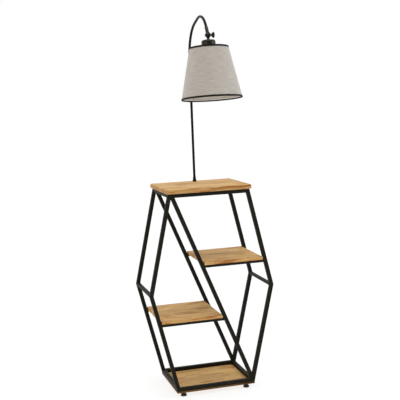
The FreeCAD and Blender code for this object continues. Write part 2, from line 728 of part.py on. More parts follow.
def clamp_ring():
    """Threaded ring that holds the shade against the holder."""
    start = FITTER_SEAT + FITTER_THICKNESS
    bore = HOLDER_SLEEVE_DIAMETER / 2.0 + FIT
    outer = CLAMP_RING_DIAMETER / 2.0
    return head_turned([(bore, start), (outer - 1.0, start), (outer, start + 1.0),
                        (outer, start + CLAMP_RING_HEIGHT - 1.0), (outer - 1.0, start + CLAMP_RING_HEIGHT),
                        (bore, start + CLAMP_RING_HEIGHT)])


BULB_TIP = SHELL_START + CONTACT_HEIGHT + CONTACT_GAP
GLASS_TOP = BULB_TIP + BULB_CAP_LENGTH - 2.0


def bulb_cap():
    """Thin metal cap of the bulb, closed at its tip."""
    outer, tip = BULB_CAP_DIAMETER / 2.0, CONTACT_DIAMETER / 2.0
    wall = BULB_CAP_WALL
    skirt = BULB_TIP + BULB_CAP_LENGTH
    shoulder = BULB_TIP + 4.0
    return head_turned([(0, BULB_TIP), (tip, BULB_TIP), (outer, shoulder), (outer, skirt),
                        (outer - wall, skirt), (outer - wall, shoulder + wall),
                        (tip, BULB_TIP + wall), (0, BULB_TIP + wall)])


def bulb_outline(inset):
    """Edges of the bulb's glass in the RZ plane: neck, tangent flank and globe."""
    neck, globe = BULB_NECK_DIAMETER / 2.0 - inset, BULB_DIAMETER / 2.0 - inset
    neck_end = GLASS_TOP + 6.0
    centre = GLASS_TOP + BULB_CENTRE
    reach = math.hypot(neck, centre - neck_end)
    touch = math.atan2(neck, centre - neck_end) + math.acos(globe / reach)
    tangent = V(globe * math.sin(touch), 0, globe * math.cos(touch) - centre)
    middle_angle = (touch + math.pi) / 2.0
    middle = V(globe * math.sin(middle_angle), 0, globe * math.cos(middle_angle) - centre)
    bottom = V(0, 0, -centre - globe)
    points = [V(0, 0, -GLASS_TOP), V(neck, 0, -GLASS_TOP), V(neck, 0, -neck_end), tangent]
    edges = [Part.LineSegment(a, b).toShape() for a, b in zip(points, points[1:])]
    edges.append(Part.Arc(tangent, middle, bottom).toShape())
    edges.append(Part.LineSegment(bottom, points[0]).toShape())
    return Part.Face(Part.Wire(edges)).revolve(V(0, 0, 0), V(0, 0, 1), 360)


def bulb_glass():
    """Thin globe, open at its neck inside the cap."""
    return moved(bulb_outline(0.0).cut(bulb_outline(GLASS)), HEAD_PLACE)


# ---------------------------------------------------------------- shade

def shade_fabric():
    top, bottom = SHADE_TOP + TRIM, SHADE_TOP + SHADE_HEIGHT - TRIM
    inset = TRIM + SHADE_FABRIC
    return head_turned([(shade_radius(top, TRIM), top), (shade_radius(bottom, TRIM), bottom),
                        (shade_radius(bottom, inset), bottom), (shade_radius(top, inset), top)])


def edge_tape(edge, inwards):
    """Tape folded over one edge of the fabric; inwards is the way from the edge to the middle."""
    fold, end = edge + inwards * TRIM, edge + inwards * TRIM_HEIGHT
    inner = TRIM + SHADE_FABRIC
    return head_turned([(shade_radius(edge, 0), edge), (shade_radius(end, 0), end),
                        (shade_radius(end, TRIM), end), (shade_radius(fold, TRIM), fold),
                        (shade_radius(fold, inner), fold), (shade_radius(end, inner), end),
                        (shade_radius(end, inner + TRIM), end), (shade_radius(edge, inner + TRIM), edge)])


def shade_trims():
    return group([edge_tape(SHADE_TOP, 1), edge_tape(SHADE_TOP + SHADE_HEIGHT, -1)])


RING_OFFSET = TRIM_HEIGHT + RING_WIRE / 2.0 + RING_GAP
TOP_RING = SHADE_TOP + RING_OFFSET
BOTTOM_RING = SHADE_TOP + SHADE_HEIGHT - RING_OFFSET


def ring_radius(distance):
    """Radius of a wire ring that lies against the inside of the fabric."""
    slope = (SHADE_BOTTOM_DIAMETER - SHADE_TOP_DIAMETER) / 2.0 / SHADE_HEIGHT
    wire = RING_WIRE / 2.0 * math.hypot(1.0, slope)
    return shade_radius(distance, TRIM + SHADE_FABRIC + RING_GAP) - wire


def wire_ring(distance):
    return Part.makeTorus(ring_radius(distance), RING_WIRE / 2.0, V(0, 0, -distance))


def shade_carrier():
    """Top ring, spider arms and the plate that sits on the lamp holder, welded together."""
    bore, plate = HOLDER_SLEEVE_DIAMETER / 2.0 + FIT, FITTER_DIAMETER / 2.0
    seat = FITTER_SEAT
    carrier = turned([(bore, -seat), (plate, -seat), (plate, -seat - FITTER_THICKNESS),
                      (bore, -seat - FITTER_THICKNESS)])
    carrier = carrier.fuse(wire_ring(TOP_RING))
    inner = V(plate - RING_WIRE, 0, -seat - FITTER_THICKNESS / 2.0)
    outer = V(ring_radius(TOP_RING), 0, -TOP_RING)
    arm = rod(RING_WIRE, inner, outer)
    holder = Part.makeCylinder(HOLDER_DIAMETER / 2.0 + FIT, seat)
    holder.translate(V(0, 0, -seat))
    arm = arm.cut(holder)
    for index in range(SPIDER_ARMS):
        turn = FreeCAD.Rotation(V(0, 0, 1), 90.0 + index * 360.0 / SPIDER_ARMS)
        carrier = carrier.fuse(moved(arm, FreeCAD.Placement(V(0, 0, 0), turn)))
    return moved(carrier.removeSplitter(), HEAD_PLACE)


# ---------------------------------------------------------------- all nodes

def main():
    os.makedirs("parts", exist_ok=True)

    for name, y0, y1 in (("front", -HALF_DEPTH, -INNER_Y), ("back", INNER_Y, HALF_DEPTH)):
        for index, member in enumerate(MEMBERS):
            tube = hexagon_tube(index, y0, y1)
            if member == "bottom_rail":
                for x, y in BASE_SCREW_PLACES:
                    tube = tube.cut(base_screw(x, y))
            export(tube, name + "_" + member)
        export(diagonal_tube(y0, y1), name + "_diagonal")

    for name, side in (("left", -1), ("right", 1)):
        export(top_side_rail(side), "top_side_rail_" + name)
        export(side_tube(CORNER_BASE_X, side, BASE_Z, TUBE), "bottom_side_rail_" + name)
        export(side_tube(KNEE_OUTER_X, side, KNEE_Z, KNEE_BAR_HEIGHT), "knee_bar_" + name)

    for name, top, right in (("upper", UPPER_SHELF_TOP, True), ("lower", LOWER_SHELF_TOP, False)):
        export(shelf_supports(top, right), name + "_shelf_supports")
        export(shelf_board(top, right), name + "_shelf")
    export(shelf_screws(), "shelf_screws")

    export(top_board(), "top_board")
    export(top_screws(), "top_board_screws")
    export(base_board(), "base_board")
    export(group([base_screw(x, y) for x, y in BASE_SCREW_PLACES]), "base_board_screws")

    export(group([foot_insert(*foot_place(name)) for name in FOOT_PLACES]), "foot_inserts")
    for name in FOOT_PLACES:
        export(foot(*foot_place(name)), "foot_" + name)

    export(pole(), "pole")
    export(along_pole(LEAD_DIAMETER, POLE_FOOT - OUTLET_LIP, POLE_STOP), "pole_lead")
    export(pole_collar(), "pole_collar")
    export(pole_washer(), "pole_washer")
    export(pole_nut(), "pole_nut")
    export(cord_outlet(), "cord_outlet")

    export(arm_ferrule(), "arm_ferrule")
    export(knuckle_upper(), "knuckle_upper")
    export(knuckle_washer(), "knuckle_washer")
    export(knuckle_lower(), "knuckle_lower")
    export(knuckle_nut(), "knuckle_nut")
    export(wing_screw(), "wing_screw")

    export(holder_cap(), "holder_cap")
    export(lamp_holder(), "lamp_holder")
    export(contact_block(), "contact_block")
    export(centre_contact(), "centre_contact")
    export(head_lead(), "head_lead")
    export(screw_shell(), "screw_shell")
    export(clamp_ring(), "shade_clamp_ring")
    export(bulb_cap(), "bulb_cap")
    export(bulb_glass(), "bulb_glass")

    export(shade_carrier(), "shade_carrier")
    export(moved(wire_ring(BOTTOM_RING), HEAD_PLACE), "shade_bottom_ring")
    export(shade_fabric(), "shade_fabric")
    export(shade_trims(), "shade_trims")

    print("tilt axis at %.2f %.2f %.2f" % (TILT_AXIS.x, TILT_AXIS.y, TILT_AXIS.z))
    for name in FOOT_PLACES:
        print("foot %s at %.2f %.2f" % ((name,) + foot_place(name)))


main()
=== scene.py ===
"""Dresses the shelf floor lamp: finishes for its frame, boards and fittings, and its fine pieces.

Places are in metres and in the frame's own axes: Z up, -Y to the front, X to the right. Outlines
are written in millimetres.
"""

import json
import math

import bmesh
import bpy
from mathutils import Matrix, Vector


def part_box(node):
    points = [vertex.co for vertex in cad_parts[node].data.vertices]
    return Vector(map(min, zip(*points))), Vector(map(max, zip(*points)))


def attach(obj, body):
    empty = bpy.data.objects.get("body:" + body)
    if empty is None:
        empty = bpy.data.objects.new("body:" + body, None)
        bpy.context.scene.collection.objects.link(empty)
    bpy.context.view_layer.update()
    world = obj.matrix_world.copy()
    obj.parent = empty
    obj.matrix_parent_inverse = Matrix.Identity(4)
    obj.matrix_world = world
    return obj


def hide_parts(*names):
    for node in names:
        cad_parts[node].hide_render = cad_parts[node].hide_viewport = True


bl_info = {
    "name": "Shelf floor lamp",
    "version": (1, 0, 0),
    "blender": (4, 5, 0),
    "location": "3D View > Sidebar > Shelf lamp",
    "description": "Finishes and fine pieces of a floor lamp on a hexagonal shelf frame",
    "category": "Object",
}

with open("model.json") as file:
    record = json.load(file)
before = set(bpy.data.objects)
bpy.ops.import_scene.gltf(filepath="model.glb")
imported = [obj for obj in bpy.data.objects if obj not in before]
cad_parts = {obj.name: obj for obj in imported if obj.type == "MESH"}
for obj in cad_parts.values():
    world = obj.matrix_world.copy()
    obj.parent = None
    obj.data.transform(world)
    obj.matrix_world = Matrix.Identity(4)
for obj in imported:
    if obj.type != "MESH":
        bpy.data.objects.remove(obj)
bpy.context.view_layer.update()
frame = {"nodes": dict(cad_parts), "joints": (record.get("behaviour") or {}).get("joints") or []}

MM = 0.001
FULL_TURN = 2.0 * math.pi
QUARTER_TURN = math.pi / 2.0
WHITE = (1.0, 1.0, 1.0)
TILT_AXIS = Vector(next(j["pos_m"] for j in frame["joints"] if j["name"] == "head_tilt"))
TUBE_WORDS = ("rail", "leg", "diagonal", "knee_bar", "supports")
FEET = sorted(set(name for name in frame["nodes"] if name.startswith("foot_")) - {"foot_inserts"})
BRIGHT_NODES = ("pole_washer", "pole_nut", "foot_inserts", "base_board_screws")
LEAD_NODES = ("pole_lead", "head_lead")
BOARDS = {   # each board, and the tone of its upright edges: partly stain, partly painted shade
    "top_board": (0.86, 0.76, 0.68),
    "upper_shelf": (1.0, 0.92, 0.86),
    "lower_shelf": (1.0, 0.9, 0.8),
    # The base board's very dark edge is partly stained edge, partly painted shade under the frame.
    "base_board": (0.26, 0.17, 0.1),
}
BOTTOM_RAIL, TOP_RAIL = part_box("front_bottom_rail"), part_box("front_top_rail")
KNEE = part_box("front_lower_right_leg")[1]
TUBE = TOP_RAIL[1].z - TOP_RAIL[0].z
FRONT_Y, BACK_Y = TOP_RAIL[0].y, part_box("back_top_rail")[1].y

# The shade, in millimetres down the head's axis from the tilt axis.
SHADE_TOP = 44.0
SHADE_HEIGHT = 192.5
SHADE_TOP_RADIUS = 73.25
SHADE_BOTTOM_RADIUS = 114.5
RING_INSET = 6.6
TAPE_HEIGHT = 7.0
TAPE_FOLD = 4.9


# ---- sizes and colours

def angle(name, description, degrees):
    return bpy.props.FloatProperty(
        name=name, description=description, default=math.radians(degrees), subtype="ANGLE")


def length(name, description, millimetres):
    return bpy.props.FloatProperty(
        name=name, description=description, default=millimetres * MM, unit="LENGTH")


def colour(name, description, default):
    return bpy.props.FloatVectorProperty(
        name=name, description=description, default=default, subtype="COLOR", min=0.0, max=1.0)


class ShelfLampCamera(bpy.types.PropertyGroup):
    """Where the camera stands, and how it is turned."""
    azimuth: angle("Azimuth", "Turn round the lamp, to the left where negative", -15.826)
    elevation: angle("Elevation", "Downward slope of the view", 7.133)
    roll: angle("Roll", "Turn of the picture about the line of sight", -2.296)
    place: bpy.props.FloatVectorProperty(
        name="Place", description="Where the camera stands",
        default=(-0.9176, -3.2338, 1.1729), subtype="TRANSLATION")
    lens: bpy.props.FloatProperty(
        name="Lens", description="Focal length on a 36 mm sensor, in millimetres", default=76.66)


class ShelfLampSizes(bpy.types.PropertyGroup):
    """Sizes that the frame's boxes don't give."""
    head_tilt: angle("Head tilt", "Forward tilt of the shade at rest", 5.2)
    arm_lean: angle("Arm lean", "Lean of the arm's end from the vertical", 32.0)
    diagonal_lean: angle("Diagonal lean", "Lean of the diagonals from the vertical",
                         math.degrees(math.atan(302.0 / 760.0)))
    diagonal_middle: length("Diagonal middle", "X of the diagonals at half the frame's height", 3.0)
    weld: length("Weld", "Radius of the weld beads", 1.7)
    weld_ripple: length("Weld ripple", "Length of one ripple of a weld bead", 1.9)
    stave: length("Stave width", "Width of the glued staves of the boards", 43.0)
    weave: length("Weave pitch", "Distance between the threads of the shade", 0.8)


class ShelfLampColours(bpy.types.PropertyGroup):
    """Colours of the finishes, as linear values."""
    frame_black: colour("Frame", "Powder coat of the square tubes", (0.013, 0.011, 0.0072))
    pole_black: colour("Pole", "Paint of the pole and its collar", (0.008, 0.0066, 0.0045))
    bronze: colour("Fittings", "Dark bronze of the cap and knuckle", (0.03, 0.026, 0.02))
    pine_light: colour("Pine, light", "Pale early wood", (0.61, 0.4, 0.165))
    pine_dark: colour("Pine, dark", "Darker late wood", (0.52, 0.3, 0.1))
    pine_streak: colour("Pine, streaks", "Reddish-brown heart streaks", (0.36, 0.155, 0.042))
    linen: colour("Linen", "Threads of the shade", (0.47, 0.425, 0.375))
    lining: colour("Lining", "Inside of the shade", (0.62, 0.55, 0.47))
    tape: colour("Tape", "Edge tape of the shade", (0.0065, 0.0052, 0.004))
    floor: colour("Floor", "Studio floor, lit from below", (0.18, 0.18, 0.18))


SETTINGS = {
    "shelf_lamp_camera": ShelfLampCamera,
    "shelf_lamp_sizes": ShelfLampSizes,
    "shelf_lamp_colours": ShelfLampColours,
}


def sizes():
    return bpy.context.scene.shelf_lamp_sizes


def paint(name):
    return tuple(getattr(bpy.context.scene.shelf_lamp_colours, name))


def scaled(base, share, lift=0.0):
    """A colour made darker or lighter, but no brighter than white."""
    return tuple(min(1.0, c * share + lift) for c in base)


# ---- finishes

class Tree:
    """A node tree, built from short calls."""

    def __init__(self, owner):
        owner.use_nodes = True
        self.tree = owner.node_tree

    def join(self, socket, value):
        if isinstance(value, bpy.types.NodeSocket):
            self.tree.links.new(value, socket)
        else:
            socket.default_value = value

    def add(self, kind, inputs=None, **choices):
        node = self.tree.nodes.new(kind)
        for choice, value in choices.items():
            setattr(node, choice, value)
        for socket, value in (inputs or {}).items():
            self.join(node.inputs[socket], value)
        return node

    def parts(self, vector):
        """The X, Y and Z of a vector."""
        return list(self.add("ShaderNodeSeparateXYZ", {0: vector}).outputs)


class Finish(Tree):
    """One material. Scales count features per metre."""

    def __init__(self, name, base, roughness, metallic=0.0, **sockets):
        self.base, self.roughness = base, roughness
        self.material = bpy.data.materials.new(name)
        super().__init__(self.material)
        self.shader = self.tree.nodes["Principled BSDF"]
        self.place = self.add("ShaderNodeTexCoord").outputs["Object"]
        self.set("Base Color", (*base, 1.0))
        self.set("Roughness", roughness)
        self.set("Metallic", metallic)
        for socket, value in sockets.items():
            self.set(socket.replace("_", " ").title().replace("Ior", "IOR"), value)

    def set(self, socket, value):
        self.join(self.shader.inputs[socket], value)

    def noise(self, scale, detail=3.0, rough=0.55, place=None, shift=(0.0, 0.0, 0.0)):
        """Noise over a place, which is scaled so that one unit is one feature, then shifted."""
        scale = scale if isinstance(scale, tuple) else (scale,) * 3
        vector = self.add("ShaderNodeMapping", {"Vector": place or self.place, "Location": shift,
                                                "Scale": scale}).outputs[0]
        return self.add("ShaderNodeTexNoise", {"Vector": vector, "Scale": 1.0, "Detail": detail,
                                               "Roughness": rough}).outputs["Fac"]

    def math(self, operation, first, second=0.0):
        return self.add("ShaderNodeMath", {0: first, 1: second}, operation=operation).outputs[0]

    def vector(self, operation, first, second):
        return self.add("ShaderNodeVectorMath", {0: first, 1: second},
                        operation=operation).outputs[0]

    def ramp(self, factor, low, high, start=0.0, end=1.0):
        """Maps a span of the factor onto another, with soft ends."""
        return self.add("ShaderNodeMapRange", {"Value": factor, "From Min": low, "From Max": high,
                                               "To Min": start, "To Max": end},
                        interpolation_type="SMOOTHSTEP").outputs["Result"]

    def mix(self, factor, first, second, blend="MIX"):
        node = self.add("ShaderNodeMix", data_type="RGBA", blend_type=blend)
        for socket, value in (("Factor_Float", factor), ("A_Color", first), ("B_Color", second)):
            target = next(s for s in node.inputs if s.identifier == socket)
            if isinstance(value, tuple) and len(value) == 3:
                value = (*value, 1.0)
            self.join(target, value)
        return next(s for s in node.outputs if s.identifier == "Result_Color")

    def patches(self, factor, low, high, other):
        """Turns the base colour to another where the factor is high."""
        share = self.ramp(factor, low, high)
        self.set("Base Color", self.mix(share, self.base, other))
        return share

    def uneven(self, factor, smoother, rougher):
        """Spreads the roughness to both sides of its middle value."""
        self.set("Roughness", self.ramp(factor, 0.3, 0.7, self.roughness - smoother,
                                        self.roughness + rougher))

    def bump(self, height, depth, strength):
        """Relief of a depth in millimetres."""
        self.set("Normal", self.add("ShaderNodeBump", {
            "Height": height, "Distance": depth * MM, "Strength": strength}).outputs["Normal"])

    def around(self):
        """Turn about the piece's own axis and height along it, as threads would count them."""
        x, y, z = self.parts(self.place)
        return self.math("ARCTAN2", y, x), z


def powder_coat(name, base, roughness=0.5):
    """Satin powder coat: fine orange peel and a few paler rubbed patches."""
    skin = Finish(name, base, roughness, specular_ior_level=0.07)
    skin.patches(skin.noise((38.0, 38.0, 20.0), 4.0), 0.55, 0.8, scaled(base, 1.9, 0.004))
    skin.uneven(skin.noise(160.0), 0.06, 0.1)
    skin.bump(skin.noise(1400.0, 2.0), 0.05, 0.35)
    return skin.material


def bronze_plate(name, base, roughness=0.3):
    """Dark bronze plating with fine turning marks and small brighter rubs."""
    skin = Finish(name, base, roughness, metallic=0.85, coat_weight=0.08, coat_roughness=0.2)
    skin.patches(skin.noise(120.0, 5.0), 0.56, 0.78, scaled(base, 2.1))
    skin.uneven(skin.noise(300.0), 0.05, 0.12)
    skin.bump(skin.noise((90.0, 90.0, 5200.0), 1.0), 0.03, 0.25)
    return skin.material


def pine(name, shift, edge):
    """Clear-coated pine of glued staves: growth lines along X, reddish streaks, and upright edges
    darkened partly by stain and partly by painted shade.

    The staves jump in the noise, and the lines slope on the end grain.
    """
    light, dark, streak = paint("pine_light"), paint("pine_dark"), paint("pine_streak")
    line_rate, edge_slope, line_warp = 900.0, 0.6, 34.0
    skin = Finish(name, light, 0.6, specular_ior_level=0.12)
    _, y, z = skin.parts(skin.place)
    across = skin.math("DIVIDE", skin.math("ADD", y, 0.5 + shift[1]), sizes().stave)
    stave = skin.add("ShaderNodeTexWhiteNoise", {"W": skin.math("FLOOR", across)},
                     noise_dimensions="1D")
    jump = skin.vector("MULTIPLY", stave.outputs["Color"], (7.0, 3.0, 5.0))
    place = skin.vector("ADD", skin.place, jump)

    def streaky(scale, detail, rough=0.55):
        return skin.noise(scale, detail, rough, place, shift)

    warp = skin.math("MULTIPLY", streaky((5.0, 26.0, 26.0), 2.0), line_warp)
    lines = skin.math("ADD", y, skin.math("MULTIPLY", z, edge_slope))
    lines = skin.math("ADD", skin.math("MULTIPLY", lines, line_rate), warp)
    growth = skin.ramp(skin.math("SINE", lines), -0.6, 1.0, 0.0, 0.75)
    heart = skin.ramp(streaky((9.0, 70.0, 70.0), 5.0, 0.6), 0.49, 0.61)
    flame = skin.ramp(streaky((22.0, 240.0, 240.0), 3.0), 0.52, 0.72, 0.0, 0.35)
    pores = skin.ramp(streaky((45.0, 1500.0, 1500.0), 2.0), 0.6, 0.75, 0.0, 0.22)
    wood = skin.mix(growth, light, dark)
    wood = skin.mix(skin.math("MAXIMUM", heart, flame), wood, streak)
    wood = skin.mix(pores, wood, scaled(streak, 0.5))
    tone = skin.ramp(stave.outputs["Value"], 0.0, 1.0, 0.86, 1.08)
    wood = skin.add("ShaderNodeVectorMath", {0: wood, "Scale": tone},
                    operation="SCALE").outputs[0]
    joint = skin.math("ABSOLUTE", skin.math("SUBTRACT", skin.math("FRACT", across), 0.5))
    seam = skin.ramp(joint, 0.492, 0.5, 0.0, 0.5)
    wood = skin.mix(seam, wood, scaled(dark, 0.5))
    # Faces that point sideways take the edge tone: partly stain, partly painted shade where less
    # light falls on them.
    facing = skin.parts(skin.add("ShaderNodeTexCoord").outputs["Normal"])[2]
    side = skin.ramp(skin.math("ABSOLUTE", facing), 0.35, 0.75, 1.0, 0.0)
    skin.set("Base Color", skin.mix(side, wood, skin.mix(1.0, wood, edge, "MULTIPLY")))
    skin.set("Roughness", skin.ramp(growth, 0.0, 0.75, 0.66, 0.52))
    relief = skin.math("SUBTRACT", skin.math("MULTIPLY", growth, 0.3),
                       skin.math("ADD", pores, seam))
    skin.bump(relief, 0.12, 0.6)
    return skin.material


def linen(name, base, openness=0.22):
    """Plain weave with slubs: uneven threads round the shade and down it, with open pinholes."""
    pitch, middle_radius = sizes().weave, 95.0 * MM
    skin = Finish(name, base, 0.9, specular_ior_level=0.2, sheen_weight=0.35, sheen_roughness=0.5)
    turn, height = skin.around()
    place = skin.add("ShaderNodeCombineXYZ", {
        "X": skin.math("MULTIPLY", turn, middle_radius), "Y": height}).outputs[0]
    threads = round(FULL_TURN * middle_radius / pitch)
    warp = skin.math("SINE", skin.math("MULTIPLY", turn, threads))
    weft = skin.math("SINE", skin.math("MULTIPLY", height, FULL_TURN / pitch))
    weave = skin.math("MULTIPLY", warp, weft)
    long_slubs = skin.ramp(skin.noise((26.0, 620.0, 1.0), place=place), 0.35, 0.7)
    tall_slubs = skin.ramp(skin.noise((700.0, 45.0, 1.0), place=place), 0.35, 0.75)
    slubs = skin.math("ADD", skin.math("MULTIPLY", long_slubs, 0.65),
                      skin.math("MULTIPLY", tall_slubs, 0.35))
    body = skin.mix(skin.ramp(slubs, 0.1, 0.9), scaled(base, 0.84), scaled(base, 1.12))
    pinholes = skin.ramp(weave, -1.0, 0.2, openness, 0.0)
    skin.set("Base Color", skin.mix(pinholes, body, scaled(base, 0.55)))
    skin.bump(skin.math("ADD", skin.math("MULTIPLY", weave, 0.5), slubs), 0.18, 0.7)
    return skin.material


def ribbed_tape(name, base):
    """Woven edge tape with fine ribs across it."""
    skin = Finish(name, base, 0.8, specular_ior_level=0.12, sheen_weight=0.06)
    ribs = skin.math("SINE", skin.math("MULTIPLY", skin.around()[0], 700.0))
    fuzz = skin.noise(900.0)
    skin.patches(fuzz, 0.45, 0.8, scaled(base, 2.2))
    skin.bump(skin.math("ADD", ribs, fuzz), 0.12, 0.6)
    return skin.material


def moulded(name, base, roughness=0.5):
    """Moulded plastic with a fine eroded grain."""
    skin = Finish(name, base, roughness, specular_ior_level=0.4)
    grain = skin.noise(1600.0, 4.0)
    skin.uneven(grain, 0.06, 0.12)
    skin.patches(skin.noise(70.0), 0.4, 0.7, scaled(base, 1.25))
    skin.bump(grain, 0.04, 0.4)
    return skin.material


def bright_metal(name, base, roughness):
    """Plated or drawn bright metal with soft stains and hairlines."""
    skin = Finish(name, base, roughness, metallic=1.0)
    stain = skin.patches(skin.noise(220.0, 5.0), 0.45, 0.8, scaled(base, 0.7))
    skin.set("Roughness", skin.ramp(stain, 0.0, 1.0, roughness, roughness + 0.2))
    skin.bump(skin.noise((4000.0, 4000.0, 300.0), 2.0), 0.02, 0.3)
    return skin.material


def frosted(name, base, cloudy):
    """Opal glass of the bulb, with faint clouds."""
    skin = Finish(name, base, 0.35, transmission_weight=0.25, specular_ior_level=0.5,
                    subsurface_weight=0.15)
    skin.patches(skin.noise(60.0), 0.35, 0.7, cloudy)
    skin.bump(skin.noise(2500.0, 2.0), 0.02, 0.3)
    return skin.material


FINISHES = {   # each finish: its slot, how it is made, its material's name, its colour, and more
    "frame": ("black_frame_steel", powder_coat, "frame_powder_coat", "frame_black"),
    "pole": ("black_pole_steel", powder_coat, "pole_paint", "pole_black", 0.36),
    "bronze": ("bronze_metal", bronze_plate, "bronze_plate", "bronze"),
    "linen": ("linen", linen, "linen", "linen"),
    "lining": ("linen", linen, "shade_lining", "lining", 0.04),
    "tape": ("dark_tape", ribbed_tape, "edge_tape", "tape"),
    "black_plastic": ("black_plastic", moulded, "black_plastic", (0.022, 0.022, 0.022)),
    "lead": (None, moulded, "lead_sheath", (0.018, 0.018, 0.018), 0.6),
    "ceramic": (None, moulded, "white_ceramic", (0.78, 0.77, 0.73), 0.2),
    "zinc": ("zinc_steel", bright_metal, "zinc_plate", (0.62, 0.62, 0.64), 0.32),
    "brass": (None, bright_metal, "brass", (0.78, 0.56, 0.24), 0.28),
    "cap_metal": ("bulb_cap_metal", bright_metal, "bulb_cap_metal", (0.8, 0.8, 0.78), 0.25),
    "white_wire": ("white_wire", powder_coat, "white_wire", (0.74, 0.73, 0.7), 0.4),
    "fibre": ("fibre_washer", moulded, "fibre_washer", (0.05, 0.042, 0.036), 0.7),
    "glass": ("frosted_glass", frosted, "opal_glass", (0.93, 0.92, 0.88), (0.86, 0.85, 0.8)),
}
_made = {}


def finish(name):
    """The material of a finish, made once. Its colour is given, or named in the settings."""
    if name not in _made:
        _, make, material, base, *more = FINISHES[name]
        _made[name] = make(material, paint(base) if isinstance(base, str) else base, *more)
    return _made[name]


def dress(material, *nodes):
    """Gives nodes of the frame their finish."""
    for node in nodes:
        for slot in frame["nodes"][node].material_slots:
            slot.material = material


# ---- mesh helpers

def placed(name, data, place=(0.0, 0.0, 0.0), turn=(0.0, 0.0, 0.0)):
    """Puts a mesh, a light or a camera into the scene."""
    thing = bpy.data.objects.new(name, data)
    bpy.context.scene.collection.objects.link(thing)
    thing.location = place
    thing.rotation_euler = turn
    return thing


def piece(name, shape, finish_name, body, node=None, place=None, sharp=40.0,
          inside=None):
    """Makes one smooth piece that rides on a body, in a finish.

    It stands in for a node of the frame, if one is given. The faces from a first one on can have
    another finish: inside is that finish and the face's number.
    """
    points, faces = shape
    mesh = bpy.data.meshes.new(name)
    mesh.from_pydata(points, [], faces)
    mesh.materials.append(finish(finish_name))
    if inside:
        inner_finish, first = inside
        mesh.materials.append(finish(inner_finish))
        kinds = [0] * first + [1] * (len(faces) - first)
        mesh.polygons.foreach_set("material_index", kinds)
    mesh.shade_smooth()
    mesh.set_sharp_from_angle(angle=math.radians(sharp))
    thing = placed(name, mesh)
    if place:
        thing.matrix_world = place
    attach(thing, body)
    face_outward(mesh)
    if node:
        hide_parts(node)


def face_outward(mesh):
    """Turns all faces to the outside."""
    work = bmesh.new()
    work.from_mesh(mesh)
    bmesh.ops.recalc_face_normals(work, faces=work.faces)
    work.to_mesh(mesh)
    work.free()


def rounded(outline, radius, steps=4, closed=False):
    """An outline whose corners are arcs, each limited by the sides beside it."""
    count = len(outline)
    result = []
    for index in range(count):
        here = Vector(outline[index])
        if not closed and index in (0, count - 1):
            result.append(tuple(here))
            continue
        before = Vector(outline[index - 1]) - here
        after = Vector(outline[(index + 1) % count]) - here
        reach = min(radius, before.length * 0.45, after.length * 0.45)
        start, end = here + before.normalized() * reach, here + after.normalized() * reach
        for step in range(steps + 1):
            t = step / steps
            result.append(tuple(start * (1 - t) ** 2 + here * 2 * t * (1 - t) + end * t ** 2))
    return result


def spun(outline, steps=64, ripple=None, closed=False):
    """Points and faces of an (r, z) outline turned about Z; the ripple changes r and z."""
    points, faces, rings = [], [], []
    for radius, height in outline:
        if radius < 1e-7:
            rings.append([len(points)])
            points.append((0.0, 0.0, height))
            continue
        ring = []
        for step in range(steps):
            turn = FULL_TURN * step / steps
            r, z = ripple(turn, radius, height) if ripple else (radius, height)
            ring.append(len(points))
            points.append((r * math.cos(turn), r * math.sin(turn), z))
        rings.append(ring)
    pairs = list(zip(rings, rings[1:]))
    if closed:
        pairs.append((rings[-1], rings[0]))
    for low, high in pairs:
        for step in range(steps):
            following = (step + 1) % steps
            corners = [low[step % len(low)], low[following % len(low)],
                       high[following % len(high)], high[step % len(high)]]
            face = list(dict.fromkeys(corners))
            if len(face) > 2:
                faces.append(face)
    return points, faces


def turned(name, outline, finish_name, body, node, place, ease=0.6, steps=64, ripple=None,
           closed=True):
    """A lathe-turned piece, with its corners eased by so many millimetres."""
    shape = spun(rounded(outline, ease * MM, closed=closed), steps, ripple, closed)
    piece(name, shape, finish_name, body, node, place)


def fluted(count, depth, least_radius, low, high, power=1):
    """Ripple that cuts upright grooves into a wall between two heights, in millimetres."""
    def cut(turn, r, z):
        if r > least_radius * MM and low * MM < z < high * MM:
            r -= depth * MM * (0.5 + 0.5 * math.cos(count * turn)) ** power
        return r, z
    return cut


def mm(*pairs):
    """An outline written in millimetres."""
    return [(a * MM, b * MM) for a, b in pairs]


def down(*pairs):
    """A head outline given as (radius, distance below the tilt axis) in millimetres."""
    return [(a * MM, -b * MM) for a, b in pairs]


def moved(shape, place):
    """A shape, put where a matrix says."""
    points, faces = shape
    return [tuple(place @ Vector(p)) for p in points], faces


def along(start, end):
    """Placement whose Z runs from start to end."""
    turn = Vector((0, 0, 1)).rotation_difference(end - start)
    return Matrix.Translation(start) @ turn.to_matrix().to_4x4()


def bar(start, end, radius, ease):
    """Points and faces of a round bar with eased ends, ready to be gathered."""
    reach = (end - start).length
    profile = rounded([(0.0, 0.0), (radius, 0.0), (radius, reach), (0.0, reach)], ease)
    return moved(spun(profile, 12), along(start, end))


def gathered(parts):
    """Joins lists of points and faces into one."""
    points, faces = [], []
    for more_points, more_faces in parts:
        base = len(points)
        points += more_points
        faces += [[base + index for index in face] for face in more_faces]
    return points, faces


def head_place():
    return Matrix.Translation(TILT_AXIS) @ Matrix.Rotation(-sizes().head_tilt, 4, "X")


def arm_place():
    return Matrix.Translation(TILT_AXIS) @ Matrix.Rotation(-sizes().arm_lean, 4, "X")


def foot_of(node):
    """Placement at the middle of a node's lowest face."""
    low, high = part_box(node)
    return Matrix.Translation(((low.x + high.x) / 2.0, (low.y + high.y) / 2.0, low.z))


# ---- steel frame

def leg_x(height, inwards):
    """X of the right legs' face at a height, moved inwards square to the leg."""
    low = height < KNEE.z
    x, z = (BOTTOM_RAIL[1].x, BOTTOM_RAIL[0].z) if low else (TOP_RAIL[1].x, TOP_RAIL[1].z)
    slope = (KNEE.x - x) / (KNEE.z - z)
    return x + slope * (height - z) - inwards * math.hypot(1.0, slope)


